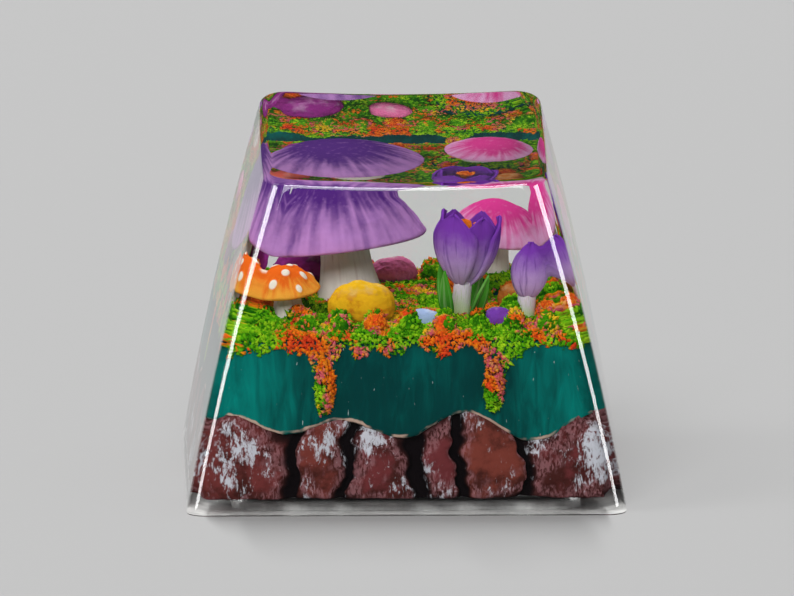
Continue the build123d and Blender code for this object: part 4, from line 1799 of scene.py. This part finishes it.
    def leaf(self, name: str) -> bpy.types.Object:
        """A blade that stands on its point at the origin."""
        rows, across = self.leaf_rows, self.leaf_across
        points: list[Point] = []
        marks: list[Spot] = []
        for row in range(rows + 1):
            along = 0.18 + 0.82 * row / rows
            half = self.leaf_width / 2 * max(0.03, math.sin(math.pi * along) ** 0.8)
            for column in range(across + 1):
                share = 2 * column / across - 1
                fold = self.leaf_fold * abs(share) * half / (self.leaf_width / 2)
                points.append((half * share, -fold - 0.1 * (along - 0.5) ** 2, self.leaf_length * along))
                marks.append((along, share))
        return self.thin_solid(name, points, grid_faces(rows, across), marks, self.leaf_wall, 0.0)

    def build(self, tree: Tree) -> None:
        """Builds the flower, the bud and the leaves."""
        self.build_flower(tree)
        self.build_bud(tree)
        self.build_leaves()


@dataclass
class Stone:
    """A rounded, weathered stone bedded on the plateau."""

    name: str
    place: Spot
    length: float
    girth: float
    turn: float
    paint: StonePaint
    sink: float = 0.25
    bed: float = 0.05
    lump: float = 0.09
    pit: float = 0.022
    lump_bounds: Spot = (-0.2, 0.05)
    subdivisions: int = 6

    def build(self) -> None:
        """Makes the stone from a fine ball, drawn out, flattened where it is bedded and weathered."""
        ball, faces = unit_ball(self.subdivisions)
        size = np.array([self.length / 2, self.girth / 2, self.girth / 2])
        shift = np.array([len(self.name), self.turn, self.girth]) * 3.7
        lumps = fractal(ball * 1.3 + shift, 1.0, 3) * self.lump + fractal(ball * 4.5 + shift, 1.0, 4) * self.pit
        points = ball * size * (0.97 + np.clip(lumps, *self.lump_bounds))[:, None]
        angle = math.radians(self.turn)
        spin = np.array([[math.cos(angle), -math.sin(angle), 0], [math.sin(angle), math.cos(angle), 0], [0, 0, 1]])
        points = points @ spin.T
        points[:, 2] = np.maximum(points[:, 2] + self.girth / 2 - self.sink, -self.bed) + CASTING.plateau
        points[:, :2] += np.array(CASTING.spot(self.place))
        piece = new_piece(f"{self.name}_painted", points, faces.tolist())
        store(piece, "height", np.clip((points[:, 2] - CASTING.plateau) / (self.girth - self.sink), 0, 1))
        tidy_mesh(piece, 1e-6)
        finish_piece(piece, self.paint.name, self.name, paint=self.paint.material())


@dataclass
class MossCover:
    """The flock on the plateau, the ragged fringe over its edge and the strands that trail from it."""

    least: float = 0.045
    most: float = 0.105
    carpet_density: float = 62.0
    fringe_density: float = 120.0
    orange_density: float = 150.0
    wall: float = 0.7
    hang: float = 0.46
    hang_swing: float = 0.95
    hang_least: float = 0.08
    hang_most: float = 1.15
    strand_reach: float = 0.85
    strand_drop: float = 2.4
    fringe_rows: tuple[Spot, ...] = ((1.35, -0.30), (1.02, -0.26), (0.80, -0.06), (0.66, 0.2))
    fringe_end: Spot = (0.66, 0.22)
    skirt_inner: float = 0.85
    skirt_outer: float = 0.15
    skirt_ragged: float = 0.3
    skirt_lift: float = 0.04
    skirt_steps: int = 72
    bloom_foot: float = 5.0
    bloom_fade: float = 0.6
    bloom_width: float = 0.3
    bloom_most: float = 0.3
    corner: float = 0.45
    corner_steps: int = 8
    side_steps: int = 110
    green: Flock = Flock("green_flock", (0.010, 0.130, 0.002), (0.120, 0.480, 0.005), (0.520, 0.840, 0.022), 0.53)
    fringe_green: Flock = Flock(
        "fringe_flock", (0.010, 0.150, 0.002), (0.110, 0.470, 0.005), (0.500, 0.820, 0.020), 0.535
    )
    orange: Flock = Flock("orange_flock", (0.80, 0.06, 0.02), (0.95, 0.17, 0.015), (0.98, 0.36, 0.03), 0.52)

    def emitter(self, name: str, nodes: Sequence[str]) -> bpy.types.Object:
        """A merged copy of CAD nodes.

        Args:
            name: Its name.
            nodes: The CAD nodes.

        Returns:
            The copy.
        """
        copies = []
        for node in nodes:
            piece = bpy.data.objects.new(f"{name}_{node}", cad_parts[node].data.copy())
            piece.data.materials.clear()
            bpy.context.scene.collection.objects.link(piece)
            copies.append(piece)
        whole = joined(name, copies)
        tidy_mesh(whole)
        return whole

    @staticmethod
    def off_strands(spots: np.ndarray, strands: Sequence[str]) -> np.ndarray:
        """How far places in X and Y lie from the middle of the nearest strand."""
        middles = np.array([[(low + high) / 2 / MM for low, high in zip(*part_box(n))][:2] for n in strands])
        return np.linalg.norm(spots[:, None, :2] - middles[None, :, :], axis=2).min(axis=1)

    def fringe(self, strands: Sequence[str]) -> bpy.types.Object:
        """A strip over the plateau's edge whose lower line is ragged, and which hangs lowest over the strands.

        Args:
            strands: The CAD nodes of the strands.

        Returns:
            The strip, which the flock grows on.
        """
        plateau = CASTING.plateau
        steps = (self.corner, self.corner_steps, self.side_steps)
        plan = CASTING.outline(self.wall, plateau, *steps)
        flat = at_height(plan, 0.0)
        hang = self.hang + self.hang_swing * (0.6 * fractal(flat, 0.45, 2) + 0.6 * fractal(flat, 1.6, 3))
        over_strands = self.strand_drop * np.clip(1.2 - self.off_strands(plan, strands) / self.strand_reach, 0, 1)
        hang = np.maximum(np.clip(hang, self.hang_least, self.hang_most), over_strands)
        rows = [(inset, plateau - np.minimum(drop, hang)) for inset, drop in self.fringe_rows]
        rows.append((self.fringe_end[0], plateau - np.maximum(hang, self.fringe_end[1])))
        return self.band("fringe_strip", [CASTING.wall_loop(inset, heights, *steps) for inset, heights in rows])

    @staticmethod
    def band(name: str, loops: Sequence[np.ndarray]) -> bpy.types.Object:
        """Joins loops into an open band without blossom.

        Args:
            name: The object's name.
            loops: Loops of as many points each.

        Returns:
            The band, which the flock grows on.
        """
        piece = new_piece(name, np.concatenate(loops), band_faces(len(loops) - 1, len(loops[0])))
        store(piece, "bloom", np.zeros(len(loops) * len(loops[0])))
        return piece

    def hanging(self, strands: Sequence[str]) -> bpy.types.Object:
        """The strands and the fringe together, with blossom down the middle of each strand.

        Args:
            strands: The CAD nodes of the strands.

        Returns:
            The mesh that the flock grows on.
        """
        piece = self.emitter("moss_fringe", strands)
        spots = positions(piece)
        rise = np.clip((spots[:, 2] - self.bloom_foot) / self.bloom_fade, 0, 1)
        middle = np.clip(1.5 - self.off_strands(spots, strands) / self.bloom_width, 0, 1)
        store(piece, "bloom", self.bloom_most * rise * middle)
        return joined("moss_fringe", [piece, self.fringe(strands), self.mound_skirt()])

    def mound_skirt(self) -> bpy.types.Object:
        """A ragged ring over the mound, which the flock grows on."""
        mound = TerrainLayer()
        place = np.array([*CASTING.spot(mound.mound_place), 0.0])
        turns = np.linspace(0, 2 * math.pi, self.skirt_steps, endpoint=False)
        ring = np.column_stack([np.cos(turns), np.sin(turns), np.zeros(len(turns))])
        span = mound.mound_foot - self.skirt_outer - self.skirt_inner + self.skirt_ragged * fractal(ring, 2.0, 3)
        loops = []
        for share in (0.0, 0.25, 0.5, 0.75, 1.0):
            spots = ring * (self.skirt_inner + share * span)[:, None] + place
            spots[:, 2] = CASTING.plateau + mound.mound(spots) + self.skirt_lift
            loops.append(spots)
        return self.band("mound_skirt", loops)

    def build(self, tree: Tree) -> None:
        """Covers the moss with flock.

        Args:
            tree: The tree that grows the crumbs.
        """
        names = list(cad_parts)
        strands = [n for n in names if n.endswith("_strand")]
        orange = [n for n in names if n.startswith("orange_moss")]
        carpet = self.emitter("green_moss_flock", ["green_moss"])
        clumps = self.emitter("orange_moss_flock", orange)
        # The carpet and the clumps keep their ground under the crumbs, painted dark as painted shade.
        for piece, nodes, flock, slot, density, keep, seed in (
            (carpet, ["green_moss"], self.green, "green_flock", self.carpet_density, True, 5),
            (self.hanging(strands), strands, self.fringe_green, "green_flock", self.fringe_density, False, 7),
            (clumps, orange, self.orange, "orange_flock", self.orange_density, True, 9),
        ):
            tree.run(
                piece, Density=density / MM**2, Least=self.least * MM, Most=self.most * MM, Seed=seed, Keep=keep,
                Material=flock.material(),
            )
            finish_piece(piece, slot, *nodes)


@dataclass(frozen=True)
class Lamp:
    """A softbox that faces the cap: its place and size in millimetres, and how bright its face is, where 1 is white."""

    name: str
    place: Point
    size: Spot
    radiance: float
    glow: Glow = Glow.EVERYTHING
    aim: Point = (0, 0, 7)

    def hang(self) -> None:
        """Hangs the lamp in the scene."""
        data = bpy.data.lights.new(self.name, "AREA")
        data.shape = "RECTANGLE"
        data.size, data.size_y = self.size[0] * MM, self.size[1] * MM
        data.energy = self.radiance * math.pi * data.size * data.size_y
        lamp = bpy.data.objects.new(self.name, data)
        lamp.location = Vector(self.place) * MM
        lamp.rotation_mode = "QUATERNION"
        lamp.rotation_quaternion = (Vector(self.aim) - Vector(self.place)).to_track_quat("-Z", "Y")
        lamp.visible_diffuse = self.glow is not Glow.GLEAMS
        lamp.visible_glossy = self.glow is not Glow.PAINT
        lamp.visible_transmission = self.glow is Glow.EVERYTHING
        bpy.context.scene.collection.objects.link(lamp)


@dataclass
class Studio:
    """Floor, soft light and the camera at the photograph's viewing angle."""

    floor_colour: Colour = (0.535, 0.535, 0.535)
    floor_gap: float = 0.02
    floor_half: float = 1500.0
    target: Point = (-0.24, 0.0, 7.57)
    azimuth: float = -1.14
    elevation: float = 10.4
    distance: float = 950.0
    focal_pixels: float = 22620.0
    sensor: float = 36.0
    clip: Spot = (0.05, 20.0)
    ambient: float = 0.16
    gleam: float = 0.05
    bounces: int = 24
    transmission_bounces: int = 20
    glossy_bounces: int = 12
    lamps: tuple[Lamp, ...] = (
        Lamp("back_strip", (-60, 740, 930), (60, 900), 60.0, Glow.PAINT),
        Lamp("front_softbox", (-160, -950, 640), (860, 400), 7.2),
        Lamp("left_softbox", (-420, -120, 260), (200, 300), 2.0),
        Lamp("left_strip", (-400, -160, 135), (150, 200), 15.0, Glow.GLEAMS),
        Lamp("right_strip", (400, -160, 135), (150, 200), 15.0, Glow.GLEAMS),
        Lamp("rim_strip", (0, -265, 320), (340, 90), 16.0, Glow.GLEAMS),
    )

    def camera(self) -> None:
        """Places the camera."""
        data = bpy.data.cameras.new("camera")
        data.sensor_width = self.sensor
        data.lens = self.focal_pixels / IMAGE_WIDTH * data.sensor_width
        data.clip_start, data.clip_end = self.clip
        camera = bpy.data.objects.new("camera", data)
        turn, rise = math.radians(self.azimuth), math.radians(self.elevation)
        back = Vector((math.sin(turn) * math.cos(rise), -math.cos(turn) * math.cos(rise), math.sin(rise)))
        camera.location = (Vector(self.target) + back * self.distance) * MM
        camera.rotation_mode = "QUATERNION"
        camera.rotation_quaternion = (-back).to_track_quat("-Z", "Y")
        bpy.context.scene.collection.objects.link(camera)
        bpy.context.scene.camera = camera

    def floor(self) -> None:
        """Lays a plain pale floor."""
        half, low = self.floor_half, -self.floor_gap
        corners = [(-half, -half, low), (half, -half, low), (half, half, low), (-half, half, low)]
        piece = new_piece("floor", corners, [(0, 1, 2, 3)])
        paint = Paint("floor")
        paint.set(Base_Color=self.floor_colour, Roughness=0.9, Specular_IOR_Level=0.0)
        piece.data.materials.append(paint.material)

    def light(self) -> None:
        """Sets the world, darker for gleams, and hangs the lamps."""
        world = bpy.data.worlds.new("studio")
        bpy.context.scene.world = world
        world.use_nodes = True
        tree = world.node_tree
        back = tree.nodes["Background"]
        back.inputs["Color"].default_value = (1.0, 1.0, 1.0, 1.0)
        path = tree.nodes.new("ShaderNodeLightPath")
        level = tree.nodes.new("ShaderNodeMapRange")
        level.inputs["To Min"].default_value = self.ambient
        level.inputs["To Max"].default_value = self.gleam
        tree.links.new(path.outputs["Is Glossy Ray"], level.inputs["Value"])
        tree.links.new(level.outputs["Result"], back.inputs["Strength"])
        for lamp in self.lamps:
            lamp.hang()

    def build(self) -> None:
        """Sets up the whole studio and the way glass is followed."""
        self.floor()
        self.light()
        self.camera()
        scene = bpy.context.scene
        scene.view_settings.view_transform = "Standard"
        scene.cycles.max_bounces = self.bounces
        scene.cycles.transmission_bounces = self.transmission_bounces
        scene.cycles.glossy_bounces = self.glossy_bounces


CREAM_STALK = StreakPaint("cream_stalk_paint", (0.84, 0.78, 0.70), (0.95, 0.92, 0.88), (0.66, 0.56, 0.50), 5.0)
GILLS = StreakPaint("gill_paint", (0.80, 0.62, 0.66), (0.88, 0.74, 0.70), (0.48, 0.26, 0.38))

TOADSTOOLS = (
    Toadstool(
        "tall", (-0.29, 0.14), (-4, -7), 0.0, 3.3, 1.55, 1.0, 3.5, 2.7,
        CapPaint("purple_cap_paint", (0.085, 0.022, 0.20), (0.56, 0.27, 0.64), (0.86, 0.72, 0.74)),
        CREAM_STALK, GILLS, "purple_paint", gills=64,
    ),
    Toadstool(
        "lilac", (0.475, 0.43), (5, 9), 0.9, 2.3, 0.95, 0.6, 2.0, 1.4,
        CapPaint("pink_cap_paint", (0.66, 0.045, 0.26), (0.78, 0.40, 0.66), (0.88, 0.74, 0.70)),
        CREAM_STALK, GILLS, "lilac_paint",
    ),
    Toadstool(
        "small", (-0.635, -0.4), (4, -6), 0.0, 2.1, 0.8, 0.5, 1.45, 1.0,
        CapPaint("orange_cap_paint", (0.86, 0.14, 0.012), (0.95, 0.42, 0.05), (0.92, 0.84, 0.70)),
        CREAM_STALK, GILLS, "orange_paint", warts=12, gills=40,
    ),
)

STONES = (
    Stone("yellow_stone", (-0.24, -0.49), 2.9, 2.2, 12,
          StonePaint("yellow_paint", (0.90, 0.50, 0.015), (0.62, 0.20, 0.01), (0.95, 0.74, 0.20))),
    Stone("blue_stone", (0.095, -0.59), 1.9, 1.1, -8,
          StonePaint("blue_paint", (0.38, 0.50, 0.78), (0.14, 0.20, 0.48), (0.74, 0.82, 0.92))),
    Stone("violet_stone", (0.515, -0.6), 1.6, 1.2, 15,
          StonePaint("violet_paint", (0.22, 0.06, 0.48), (0.07, 0.02, 0.20), (0.60, 0.40, 0.76))),
    Stone("amber_stone", (0.61, -0.06), 1.9, 1.4, 70,
          StonePaint("amber_paint", (0.55, 0.17, 0.03), (0.20, 0.05, 0.012), (0.82, 0.48, 0.20))),
    Stone("coral_stone", (-0.66, -0.01), 2.1, 1.7, 80,
          StonePaint("coral_paint", (0.84, 0.14, 0.10), (0.40, 0.045, 0.05), (0.92, 0.50, 0.42))),
    Stone("plum_stone", (-0.515, 0.605), 3.0, 2.1, -20,
          StonePaint("plum_paint", (0.30, 0.03, 0.24), (0.09, 0.012, 0.09), (0.68, 0.32, 0.60))),
    Stone("pink_stone", (-0.05, 0.62), 2.1, 1.5, 15,
          StonePaint("pink_paint", (0.84, 0.20, 0.42), (0.44, 0.06, 0.18), (0.92, 0.64, 0.72))),
)


def main() -> None:
    """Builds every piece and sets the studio."""
    logging.basicConfig(level=logging.INFO, format="%(name)s: %(message)s")
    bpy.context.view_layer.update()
    ring, flock = ring_tree(), flock_tree()
    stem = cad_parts["stem_insert"]
    stem.data.materials.clear()
    stem.data.materials.append(StemPlastic().material())
    RockBase().build()
    TerrainLayer().build()
    for stone in STONES:
        stone.build()
    for toadstool in TOADSTOOLS:
        toadstool.build(ring)
    Crocus().build(ring)
    MossCover().build(flock)
    ResinBody().build()
    Studio().build()


if __name__ == "__main__":
    main()
